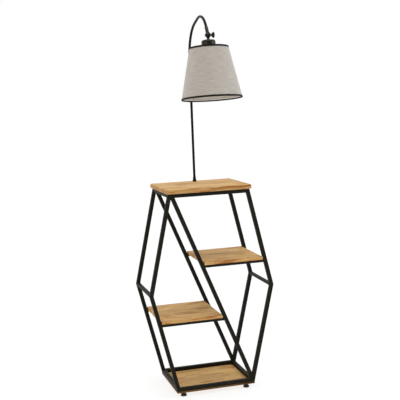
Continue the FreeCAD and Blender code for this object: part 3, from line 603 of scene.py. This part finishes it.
def diagonal_x(height, reach):
    """X of the diagonals at a height, moved to the right square to their length."""
    middle = (BOTTOM_RAIL[0].z + TOP_RAIL[1].z) / 2.0
    run = math.tan(sizes().diagonal_lean)
    return sizes().diagonal_middle - run * (height - middle) + reach * math.hypot(1.0, run)


def diagonal_touch(reach, upper):
    """Where one face of the diagonal meets a leg or a rail, as (x, z)."""
    z, step = (TOP_RAIL[0].z, -0.25 * MM) if upper else (BOTTOM_RAIL[1].z, 0.25 * MM)
    while abs(diagonal_x(z, reach)) > leg_x(z, TUBE):
        z += step
    return diagonal_x(z, reach), z


def weld_lines():
    """Start and end of every weld bead."""
    half, inset, side_inset = TUBE / 2.0, 2.0 * MM, MM
    heights = (BOTTOM_RAIL[1].z, KNEE.z, TOP_RAIL[0].z)
    places = [(side * leg_x(z, TUBE), z) for z in heights for side in (-1, 1)]
    places += [diagonal_touch(reach, upper) for reach in (-half, half) for upper in (False, True)]
    lines = [(Vector((x, y + inset, z)), Vector((x, y + TUBE - inset, z)))
             for y in (FRONT_Y, BACK_Y - TUBE) for x, z in places]
    for kind in ("top_side_rail", "bottom_side_rail", "knee_bar"):
        for side in ("left", "right"):
            low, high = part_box(kind + "_" + side)
            inner_x = high.x if side == "left" else low.x
            for y in (low.y, high.y):
                lines += [(Vector((low.x + side_inset, y, z)), Vector((high.x - side_inset, y, z)))
                          for z in (low.z, high.z)]
                lines.append((Vector((inner_x, y, low.z + side_inset)),
                              Vector((inner_x, y, high.z - side_inset))))
    return lines


def bead(start, end):
    """One rippled weld bead, thinner at its ends."""
    radius, trough, end_size, thickening, rows_a_ripple = sizes().weld, 0.82, 0.55, 2.0 / 3.0, 6
    reach = (end - start).length
    ripples = reach / sizes().weld_ripple
    rows = max(rows_a_ripple, round(ripples * rows_a_ripple))
    outline = [(0.0, 0.0)]
    for row in range(rows + 1):
        share = row / rows
        swell = abs(math.sin(math.pi * share * ripples))
        taper = min(1.0, thickening * min(share, 1.0 - share) * ripples + end_size)
        outline.append((radius * (trough + (1.0 - trough) * swell) * taper, reach * share))
    outline.append((0.0, reach))
    return moved(spun(outline, 10), along(start, end))


class SHELFLAMP_OT_steel_frame(bpy.types.Operator):
    """Powder-coats the square tubes and the shelf angles, and lays the weld beads"""
    bl_idname = "shelf_lamp.steel_frame"
    bl_label = "Steel frame"

    def execute(self, context):
        tubes = [name for name in frame["nodes"] if any(word in name for word in TUBE_WORDS)]
        dress(finish("frame"), *tubes)
        beads = gathered(bead(start, end) for start, end in weld_lines())
        piece("weld_beads", beads, "frame", "frame", sharp=60.0)
        return {"FINISHED"}


# ---- boards

class SHELFLAMP_OT_boards(bpy.types.Operator):
    """Gives the top board, the shelves and the base board their pine"""
    bl_idname = "shelf_lamp.boards"
    bl_label = "Boards"

    def execute(self, context):
        for index, (name, edge) in enumerate(BOARDS.items()):
            dress(pine("pine_" + name, (1.7 * index, 0.013 * index, 0.9 * index), edge), name)
        return {"FINISHED"}


# ---- screws and feet

def cross_recess(radius):
    """Ripple that sinks a cross slot into the top of a screw head."""
    slot_half, slot_reach, depth = 0.16 * radius, 0.62 * radius, 0.45 * radius

    def sink(turn, r, z):
        x, y = abs(r * math.cos(turn)), abs(r * math.sin(turn))
        inside = min(x, y) < slot_half and max(x, y) < slot_reach
        return r, z + depth * (1.0 - r / slot_reach * 0.6) if inside and z < 0.0 else z
    return sink


def screw_head(centre, radius, height):
    """A domed head that looks down, with its cross slot."""
    rows = 12
    outline = [(0.0, -height)]
    for row in range(1, rows + 1):
        share = row / rows
        dome = math.sqrt(max(0.0, 1.0 - 0.75 * share ** 2.4))
        outline.append((radius * share, -height * dome))
    outline += [(radius, 0.0), (0.0, 0.0)]
    return moved(spun(outline, 48, cross_recess(radius)), Matrix.Translation(centre))


def node_middles(node, tolerance):
    """Middles (x, y) and lowest height of a node's separate solids."""
    heaps = []
    for vertex in frame["nodes"][node].data.vertices:
        spot = vertex.co
        for heap in heaps:
            if (spot.xy - heap[0].xy).length < tolerance:
                heap.append(spot)
                break
        else:
            heaps.append([spot])
    middles = []
    for heap in heaps:
        low = [min(p[axis] for p in heap) for axis in range(3)]
        high = [max(p[axis] for p in heap) for axis in range(3)]
        middles.append(Vector(((low[0] + high[0]) / 2.0, (low[1] + high[1]) / 2.0, low[2])))
    return middles


class SHELFLAMP_OT_screws(bpy.types.Operator):
    """Heads with cross slots on the screws, and bright plating on what is under the boards"""
    bl_idname = "shelf_lamp.screws"
    bl_label = "Screws"

    def execute(self, context):
        dress(finish("zinc"), *BRIGHT_NODES)
        radius, height, shank, shelf_shank_length = 3.3 * MM, 2.0 * MM, 1.75 * MM, 10.0 * MM
        for node in ("shelf_screws", "top_board_screws"):
            parts = []
            for spot in node_middles(node, 12.0 * MM):
                seat = spot + Vector((0.0, 0.0, height))
                parts.append(screw_head(seat, radius, height))
                top = Vector((seat.x, seat.y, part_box(node)[1].z))
                if node == "shelf_screws":
                    top.z = seat.z + shelf_shank_length
                parts.append(bar(seat, top, shank, 0.5 * MM))
            piece(node + "_crossed", gathered(parts), "zinc", "frame", node)
        return {"FINISHED"}


class SHELFLAMP_OT_feet(bpy.types.Operator):
    """Moulded levelling feet with a soft flare, a ribbed rim and a steel stud"""
    bl_idname = "shelf_lamp.feet"
    bl_label = "Feet"

    def execute(self, context):
        glide = mm((0, 0.6), (9.0, 0.6), (9.6, 0), (11.0, 0), (12, 1.0), (12, 4.2), (11.5, 5.8),
                   (9.8, 7.9), (7.4, 9.9), (6.3, 11.6), (6.0, 13.4), (6.0, 17.6), (4.6, 17.6),
                   (4.6, 16.2), (0, 16.2))
        pitch, rows = 1.0, 45
        thread = [(2.95, 16.0 + pitch / 8.0 * row) for row in range(rows + 1)]
        stud = mm((0, 16.0), *thread, (2.3, 22.3), (0, 22.3))

        def cut(turn, r, z):
            if r > 2.5 * MM:
                r -= 0.22 * MM * (0.5 - 0.5 * math.cos(turn + FULL_TURN * z / (pitch * MM)))
            return r, z

        for name in FEET:
            place = foot_of(name)
            turned(name + "_glide", glide, "black_plastic", name, name, place, 0.8, 144,
                   fluted(36, 0.18, 11.7, 1.2, 4.0), closed=False)
            piece(name + "_stud", spun(stud, 24, cut), "zinc", name, name, place, 80.0)
        return {"FINISHED"}


# ---- pole

class SHELFLAMP_OT_pole(bpy.types.Operator):
    """Paints the bent pole, and turns its collar, its cord outlet and the arm's ferrule"""
    bl_idname = "shelf_lamp.pole"
    bl_label = "Pole"

    def execute(self, context):
        dress(finish("pole"), "pole")
        dress(finish("lead"), *LEAD_NODES)
        collar = mm((5.05, 0), (8, 0), (8, 3.4), (7.5, 4.0), (7.5, 4.6), (7.8, 5.6), (7.3, 8.4),
                    (6.3, 12.0), (6.0, 14.4), (6.2, 15.4), (6.2, 19.2), (5.7, 20), (5.05, 20))
        turned("pole_collar_turned", collar, "pole", "frame", "pole_collar",
               foot_of("pole_collar"), 0.7, 72)
        outlet = mm((3.25, 0), (5.8, 0), (7, 1.2), (7, 3.0), (6.7, 3.4), (7, 3.8), (7, 5.4),
                    (6.7, 5.8), (7, 6.2), (7, 8.4), (6.5, 9.0), (5.05, 9.0), (5.05, 4.0),
                    (3.25, 4.0))
        turned("cord_outlet_bush", outlet, "black_plastic", "frame", "cord_outlet",
               foot_of("cord_outlet"), 0.4)
        ferrule = mm((5.05, 10.4), (6.1, 10.4), (6.5, 10.9), (6.5, 14.2), (6.15, 14.6),
                     (6.15, 15.2), (6.5, 15.6), (6.5, 32.4), (6.15, 32.8), (6.15, 33.4),
                     (6.45, 33.8), (6.3, 36.2), (5.7, 37.0), (5.05, 37.0))
        turned("arm_ferrule_turned", ferrule, "bronze", "frame", "arm_ferrule", arm_place(), 0.4)
        return {"FINISHED"}


# ---- knuckle

def serrated(face, sign):
    """Ripple that cuts radial teeth into the friction face of a knuckle disc."""
    def teeth(turn, r, z):
        on_face = abs(z - face) < 0.05 * MM and r > 4.5 * MM
        return r, z + sign * 0.35 * MM * (0.5 - 0.5 * math.cos(30.0 * turn)) if on_face else z
    return teeth


def across_x(place):
    """Placement whose Z runs along the tilt axis, to the right."""
    return place @ Matrix.Rotation(QUARTER_TURN, 4, "Y")


def wing_outline():
    """Outline of the wings as (distance along the screw, height)."""
    upper = [(11.2, 3.3), (12.4, 3.4), (14.2, 5.4), (16.2, 8.2), (18.6, 10.5), (21.2, 11.0),
             (23.6, 10.1), (25.2, 7.2), (25.8, 3.6)]
    return mm(*upper, (26.0, 0.0), *((x, -z) for x, z in reversed(upper)))


class SHELFLAMP_OT_knuckle(bpy.types.Operator):
    """The tilting knuckle: two serrated discs, washer, domed nut and wing screw"""
    bl_idname = "shelf_lamp.knuckle"
    bl_label = "Knuckle"

    def execute(self, context):
        self.discs()
        self.wing_screw()
        return {"FINISHED"}

    def discs(self):
        arm, head = arm_place(), head_place()
        left = mm((3.05, -8), (7.2, -8), (7.6, -7.5), (9.0, -7.2), (10, -6.2), (10, -1.1),
                  (9.6, -0.5), (3.05, -0.5))
        turned("knuckle_upper_disc", left, "bronze", "frame", "knuckle_upper", across_x(arm),
               0.5, 120, serrated(-0.5 * MM, -1.0))
        stub = mm((0, 9.2), (4.9, 9.2), (4.9, 13.5), (0, 13.5))
        turned("knuckle_upper_stub", stub, "bronze", "frame", "knuckle_upper", arm, 0.4,
               closed=False)
        right = mm((3.05, 0.8), (9.6, 0.8), (10, 1.4), (10, 6.2), (9.0, 7.2), (7.6, 7.5),
                   (7.2, 8), (3.05, 8))
        turned("knuckle_lower_disc", right, "bronze", "lamp_head", "knuckle_lower",
               across_x(head), 0.5, 120, serrated(0.8 * MM, 1.0))
        neck = down((3.5, 27.0), (3.5, 13.0), (0, 13.0), (0, 9.7), (4.6, 9.7), (5, 10.3),
                    (5, 14.6), (5.6, 15.4), (7, 16.4), (7, 18.5), (5, 18.5), (5, 27.0))
        turned("knuckle_neck", neck, "bronze", "lamp_head", "knuckle_lower", head, 0.5,
               closed=False)
        washer = mm((3.05, -0.5), (8.2, -0.5), (8.5, -0.25), (8.5, 0.25), (8.2, 0.5), (3.05, 0.5))
        turned("knuckle_friction_washer", washer, "fibre", "frame", "knuckle_washer",
               across_x(arm), 0.15)
        dome = mm((3.05, -8), (5.5, -8), (5.5, -10.0), (5.0, -11.0), (3.4, -11.8), (0, -12.0),
                  (0, -11), (3.05, -11))
        turned("knuckle_domed_nut", dome, "bronze", "frame", "knuckle_nut", across_x(arm), 0.45,
               112, fluted(28, 0.22, 5.3, -9.8, -8.2), closed=False)

    def wing_screw(self):
        shank = mm((0, -9.9), (2.6, -9.9), (3.0, -9.4), (3.0, 8.3), (4.6, 8.3), (5, 8.7),
                   (5, 10.2), (4.4, 10.8), (3.0, 11.4), (2.7, 13.6), (2.2, 15.6), (0, 16.6))
        core = moved(spun(rounded(shank, 0.5 * MM), 48), Matrix.Rotation(QUARTER_TURN, 4, "Y"))
        piece("wing_screw_shaped", gathered([core, self.wings()]), "bronze", "wing_screw",
              "wing_screw", Matrix.Translation(TILT_AXIS))

    def wings(self):
        """The two wings: a plate, thickest near its rim, given as rings of (share, depth)."""
        outline = rounded(wing_outline(), 1.2 * MM, 3, closed=True)
        middle = Vector((20.5 * MM, 0.0))
        rings = ((1.0, 0.45), (0.985, 0.95), (0.95, 1.3), (0.84, 1.3), (0.72, 0.75), (0.5, 0.6),
                 (0.2, 0.8))
        order = [(share, -depth) for share, depth in reversed(rings)] + list(rings)
        points, faces = [], []
        for share, depth in order:
            for x, z in outline:
                spot = middle + (Vector((x, z)) - middle) * share
                points.append((spot.x, depth * MM, spot.y))
        count = len(outline)
        for row in range(0, (len(order) - 1) * count, count):
            for step in range(count):
                following = (step + 1) % count
                faces.append([row + step, row + following, row + count + following,
                              row + count + step])
        faces.append(list(range(count)))
        faces.append(list(range(len(points) - count, len(points))))
        return points, faces


# ---- lamp head

def helix(pitch, depth, low, high):
    """Ripple that cuts a rounded thread between two heights, all in millimetres."""
    def cut(turn, r, z):
        if not low * MM < z < high * MM:
            return r, z
        fade = min(1.0, (z - low * MM) / (pitch * MM), (high * MM - z) / (pitch * MM))
        groove = 0.5 - 0.5 * math.cos(turn + FULL_TURN * z / (pitch * MM))
        return r - depth * MM * fade * groove, z
    return cut


def wall_down(radius, start, end, count):
    """Evenly spaced points down a straight wall of the head."""
    return [(radius * MM, -(start + (end - start) * step / count) * MM)
            for step in range(count + 1)]


class SHELFLAMP_OT_cap(bpy.types.Operator):
    """The turned cap over the lamp holder"""
    bl_idname = "shelf_lamp.cap"
    bl_label = "Cap"

    def execute(self, context):
        outline = down((5.05, 18.5), (19.5, 18.5), (22.2, 19.0), (24.45, 20.55), (25.9, 22.8),
                       (26.5, 25.5), (26.5, 48.6), (26.15, 49.0), (26.15, 49.6), (26.5, 50.0),
                       (26.5, 51.7), (26.1, 52.5), (25.6, 52.5), (25.3, 51.9), (25.3, 25.5),
                       (23.6, 21.3), (19.5, 19.7), (5.05, 19.7))
        turned("holder_cap_spun", outline, "bronze", "lamp_head", "holder_cap", head_place(),
               0.7, 128)
        return {"FINISHED"}


class SHELFLAMP_OT_lamp_holder(bpy.types.Operator):
    """The lamp holder with its threaded sleeve, the ribbed shade ring and the inner contacts"""
    bl_idname = "shelf_lamp.lamp_holder"
    bl_label = "Lamp holder"

    def execute(self, context):
        place = head_place()
        outline = down((5.05, 19.7), (15, 19.7), (19.9, 21.8), (22, 26.7), (22, 57.2), (21.6, 58))
        outline += wall_down(20.0, 58.0, 77.2, 96)
        outline += down((19.4, 78), (14.5, 78), (14.5, 23.7), (5.05, 23.7))
        sleeve = spun(outline, 72, helix(2.5, 0.7, -76.5, -59.0), True)
        piece("lamp_holder_threaded", sleeve, "black_plastic", "lamp_head", "lamp_holder", place,
              50.0)
        ring = down((20.05, 59.5), (26.2, 59.5), (27, 60.3), (27, 60.9), (27, 63.5), (27, 66.1),
                    (27, 66.7), (26.2, 67.5), (20.05, 67.5))
        turned("shade_ring_ribbed", ring, "black_plastic", "lamp_head", "shade_clamp_ring", place,
               0.35, 240, fluted(48, 0.6, 26.0, -66.3, -60.7, 2))
        dress(finish("ceramic"), "contact_block")
        dress(finish("brass"), "centre_contact", "screw_shell")
        return {"FINISHED"}


class SHELFLAMP_OT_bulb(bpy.types.Operator):
    """The opal bulb with its threaded cap"""
    bl_idname = "shelf_lamp.bulb"
    bl_label = "Bulb"

    def execute(self, context):
        place = head_place()
        outline = down((0, 42.3), (4.4, 42.3), (5.2, 42.9), (12.4, 46.2))
        outline += wall_down(13.2, 47.0, 69.3, 100)
        outline += down((12.6, 69.3), (12.6, 47.2), (4.5, 43.1), (0, 43.1))
        piece("bulb_cap_threaded", spun(outline, 64, helix(3.6, 0.9, -67.0, -46.6)), "cap_metal",
              "lamp_head", "bulb_cap", place, 60.0)
        wall, neck_radius = 0.9 * MM, 12.0 * MM
        outer = self.globe()
        inner = [(max(0.0, r - wall), z + (wall if r < neck_radius else 0.0))
                 for r, z in reversed(outer)]
        piece("bulb_opal", spun(outer + inner, 96), "glass", "lamp_head", "bulb_glass", place,
              60.0)
        return {"FINISHED"}

    def globe(self):
        """Outline of the glass: a neck that opens into a ball."""
        centre, radius, first, rows = 125.3, 30.0, math.radians(47.0), 26
        neck = [(12.45, 67.5), (12.45, 72.5), (12.9, 77.0), (14.3, 83.5), (17.2, 91.5),
                (21.0, 99.0)]
        angles = [first + (math.pi - first) * row / rows for row in range(rows)]
        ball = [(radius * math.sin(a), centre - radius * math.cos(a)) for a in angles]
        ball.append((0.0, centre + radius))
        return rounded(down(*neck, ball[0]), 3.0 * MM, 5) + down(*ball[1:])


# ---- shade

def shade_radius(distance):
    share = (distance - SHADE_TOP) / SHADE_HEIGHT
    return SHADE_TOP_RADIUS + share * (SHADE_BOTTOM_RADIUS - SHADE_TOP_RADIUS)


def cloth_ripple(turn, r, z):
    """Small unevenness of laminated cloth, and its lapped seam at the back."""
    soft = 0.10 * math.sin(3 * turn + 1.3) + 0.07 * math.sin(7 * turn + 40.0 * z)
    soft += 0.05 * math.sin(13 * turn - 90.0 * z)
    seam = math.atan2(math.sin(turn - 1.9), math.cos(turn - 1.9)) * r
    lap = 0.35 if 0.0 < seam < 11.0 * MM else 0.0
    return r + (soft * 0.5 - 0.12 + lap) * MM, z


class SHELFLAMP_OT_shade(bpy.types.Operator):
    """The linen shade with its lining and edge tapes"""
    bl_idname = "shelf_lamp.shade"
    bl_label = "Shade"

    def execute(self, context):
        place = head_place()
        hem, inset, thickness, rows, steps = 0.7, 0.65, 0.9, 28, 288
        top, bottom = SHADE_TOP + hem, SHADE_TOP + SHADE_HEIGHT - hem
        distances = [top + (bottom - top) * row / rows for row in range(rows + 1)]
        outer = [(shade_radius(d) - inset, d) for d in distances]
        inner = [(r - thickness, d) for r, d in reversed(outer)]
        cloth = spun(down(*outer, *inner), steps, cloth_ripple, True)
        piece("linen_shade", cloth, "linen", "lamp_head", "shade_fabric", place, 60.0,
              inside=("lining", rows * steps))
        tapes = gathered([self.tape(SHADE_TOP, 1.0), self.tape(SHADE_TOP + SHADE_HEIGHT, -1.0)])
        piece("shade_edge_tapes", tapes, "tape", "lamp_head", "shade_trims", place, 50.0)
        return {"FINISHED"}

    def tape(self, edge, inwards):
        """Tape folded over one edge of the cloth; its own edges are a little uneven."""
        lip, fold = edge + 0.35 * inwards, edge + 0.55 * inwards
        end, inner_end = edge + TAPE_HEIGHT * inwards, edge + TAPE_FOLD * inwards
        steps = ((edge, 0.35), (lip, 0.02), (end, 0.0), (end, 0.5), (fold, 0.5), (fold, 1.65),
                 (inner_end, 1.65), (inner_end, 2.15), (lip, 2.15), (edge, 1.8))
        outline = down(*((shade_radius(distance) - depth, distance) for distance, depth in steps))

        def waver(turn, r, z):
            share = abs(-z / MM - edge) / TAPE_HEIGHT
            drift = 0.12 * math.sin(23.0 * turn) + 0.1 * math.sin(57.0 * turn + 0.7)
            return r, z + drift * share ** 3 * MM
        return spun(rounded(outline, 0.25 * MM, 2, True), 288, waver, True)


class SHELFLAMP_OT_shade_wires(bpy.types.Operator):
    """The shade's wire carrier with its arms, plate and weld spots, and the lower ring"""
    bl_idname = "shelf_lamp.shade_wires"
    bl_label = "Shade wires"

    wire = 1.5 * MM

    def execute(self, context):
        place = head_place()
        upper, lower = SHADE_TOP + RING_INSET, SHADE_TOP + SHADE_HEIGHT - RING_INSET
        carrier = gathered([self.ring(upper), *self.arms(upper), self.plate()])
        piece("shade_carrier_wires", carrier, "white_wire", "lamp_head", "shade_carrier", place)
        piece("shade_lower_wire", self.ring(lower), "white_wire", "lamp_head",
              "shade_bottom_ring", place)
        return {"FINISHED"}

    def ring_radius(self, distance):
        """Radius of a wire ring that lies against the lining."""
        lining_depth, wire_depth = 1.7, 1.54
        return (shade_radius(distance) - lining_depth - wire_depth) * MM

    def ring(self, distance):
        radius, height = self.ring_radius(distance), -distance * MM
        angles = [FULL_TURN * k / 12 for k in range(12)]
        circle = [(radius + self.wire * math.cos(a), height + self.wire * math.sin(a))
                  for a in angles]
        return spun(circle, 160, closed=True)

    def arms(self, distance):
        """Three arms from the plate out to the ring, with a weld spot at each end."""
        parts = []
        reach, plate = 27.0 * MM, Vector((0.0, 0.0, -58.75 * MM))
        for degrees in (90.0, 210.0, 330.0):
            turn = math.radians(degrees)
            out = Vector((math.cos(turn), math.sin(turn), 0.0))
            inner = out * reach + plate
            outer = out * self.ring_radius(distance) + Vector((0.0, 0.0, -distance * MM))
            parts.append(bar(inner, outer, self.wire, 0.6 * MM))
            for spot, size in ((inner, 2.1 * MM), (outer, 2.2 * MM)):
                drop = rounded([(0.0, -size * 0.8), (size, -size * 0.5), (size, size * 0.5),
                                (0.0, size * 0.8)], size * 0.6, 5)
                parts.append(moved(spun(drop, 14), Matrix.Translation(spot)))
        return parts

    def plate(self):
        outline = down((20.05, 58), (29.4, 58), (30, 58.75), (29.4, 59.5), (20.05, 59.5))
        return spun(rounded(outline, 0.3 * MM, 3, True), 96, closed=True)


# ---- stage

def area_light(name, place, target, size, power, tint):
    lamp = bpy.data.lights.new(name, "AREA")
    lamp.shape, lamp.size, lamp.energy, lamp.color = "DISK", size, power, tint
    aim = Vector(target) - Vector(place)
    placed(name, lamp, place, aim.to_track_quat("-Z", "Y").to_euler())


class SHELFLAMP_OT_stage(bpy.types.Operator):
    """Pale floor, soft studio light and the camera"""
    bl_idname = "shelf_lamp.stage"
    bl_label = "Stage"

    def execute(self, context):
        self.floor()
        self.backdrop(context.scene)
        self.lights()
        self.camera(context.scene)
        return {"FINISHED"}

    def floor(self):
        reach = 60.0
        mesh = bpy.data.meshes.new("studio_floor")
        corners = [(-reach, -reach, 0), (reach, -reach, 0), (reach, reach, 0), (-reach, reach, 0)]
        mesh.from_pydata(corners, [], [(0, 1, 2, 3)])
        surface = Finish("studio_floor", paint("floor"), 0.85, specular_ior_level=0.1,
                         emission_strength=0.8)
        surface.set("Emission Color", (*WHITE, 1.0))
        surface.bump(surface.noise(300.0), 0.1, 0.1)
        mesh.materials.append(surface.material)
        placed("studio_floor", mesh)

    def backdrop(self, scene):
        """White all round for the camera, but it lights the lamp more from behind."""
        scene.view_settings.view_transform = "Standard"
        scene.world = scene.world or bpy.data.worlds.new("studio")
        world = Tree(scene.world)
        nodes = world.tree.nodes
        place = world.add("ShaderNodeTexCoord").outputs["Generated"]
        strength = world.add("ShaderNodeMapRange", {
            "Value": world.parts(place)[1], "From Min": -0.6, "From Max": 0.6, "To Min": 0.28,
            "To Max": 0.95}).outputs["Result"]
        soft, seen = nodes["Background"], nodes.new("ShaderNodeBackground")
        for background in (soft, seen):
            world.join(background.inputs["Color"], (*WHITE, 1.0))
        world.join(soft.inputs["Strength"], strength)
        camera_ray = world.add("ShaderNodeLightPath").outputs["Is Camera Ray"]
        either = world.add("ShaderNodeMixShader", {0: camera_ray, 1: soft.outputs[0],
                                                   2: seen.outputs[0]})
        world.join(nodes["World Output"].inputs["Surface"], either.outputs[0])

    def lights(self):
        """One broad soft light from above, a cool key and a warm fill."""
        overhead = bpy.data.lights.new("overhead", "SUN")
        overhead.energy, overhead.angle = 2.0, math.radians(75.0)
        placed("overhead", overhead, turn=(math.radians(12.0), 0.0, 0.0))
        area_light("key", (3.4, -2.0, 2.2), (0.0, 0.0, 1.0), 1.8, 44.0, (0.84, 0.93, 1.0))
        area_light("fill", (-3.4, -2.4, 1.8), (0.0, 0.0, 0.8), 2.6, 18.0, (1.0, 0.95, 0.88))

    def camera(self, scene):
        view = scene.shelf_lamp_camera
        side = Vector((math.cos(view.azimuth), math.sin(view.azimuth), 0.0))
        back = Vector((math.sin(view.azimuth) * math.cos(view.elevation),
                       -math.cos(view.azimuth) * math.cos(view.elevation),
                       math.sin(view.elevation)))
        up = back.cross(side)
        right = side * math.cos(view.roll) + up * math.sin(view.roll)
        upright = up * math.cos(view.roll) - side * math.sin(view.roll)
        turn = Matrix((right, upright, back)).transposed().to_4x4()
        lens = bpy.data.cameras.new("camera")
        lens.lens, lens.sensor_width, lens.clip_end = view.lens, 36.0, 200.0
        thing = placed("camera", lens)
        thing.matrix_world = Matrix.Translation(view.place) @ turn
        scene.camera = thing


# ---- panel and registration

STEPS = (
    SHELFLAMP_OT_steel_frame, SHELFLAMP_OT_boards, SHELFLAMP_OT_screws, SHELFLAMP_OT_feet,
    SHELFLAMP_OT_pole, SHELFLAMP_OT_knuckle, SHELFLAMP_OT_cap, SHELFLAMP_OT_lamp_holder,
    SHELFLAMP_OT_bulb, SHELFLAMP_OT_shade, SHELFLAMP_OT_shade_wires, SHELFLAMP_OT_stage,
)


class SHELFLAMP_PT_panel(bpy.types.Panel):
    """Lists the lamp's settings and the steps that make it"""
    bl_idname = "SHELFLAMP_PT_panel"
    bl_label = "Shelf lamp"
    bl_space_type = "VIEW_3D"
    bl_region_type = "UI"
    bl_category = "Shelf lamp"

    def draw(self, context):
        for name, group in SETTINGS.items():
            column = self.layout.box().column()
            for setting in group.__annotations__:
                column.prop(getattr(context.scene, name), setting)
        for step in STEPS:
            self.layout.operator(step.bl_idname)


def register():
    for name, group in SETTINGS.items():
        bpy.utils.register_class(group)
        setattr(bpy.types.Scene, name, bpy.props.PointerProperty(type=group))
    for step in STEPS:
        bpy.utils.register_class(step)
    bpy.utils.register_class(SHELFLAMP_PT_panel)


def unregister():
    bpy.utils.unregister_class(SHELFLAMP_PT_panel)
    for step in reversed(STEPS):
        bpy.utils.unregister_class(step)
    for name, group in reversed(SETTINGS.items()):
        delattr(bpy.types.Scene, name)
        bpy.utils.unregister_class(group)


def main():
    register()
    for step in STEPS:
        kind, name = step.bl_idname.split(".")
        getattr(getattr(bpy.ops, kind), name)()


if __name__ == "__main__":
    main()
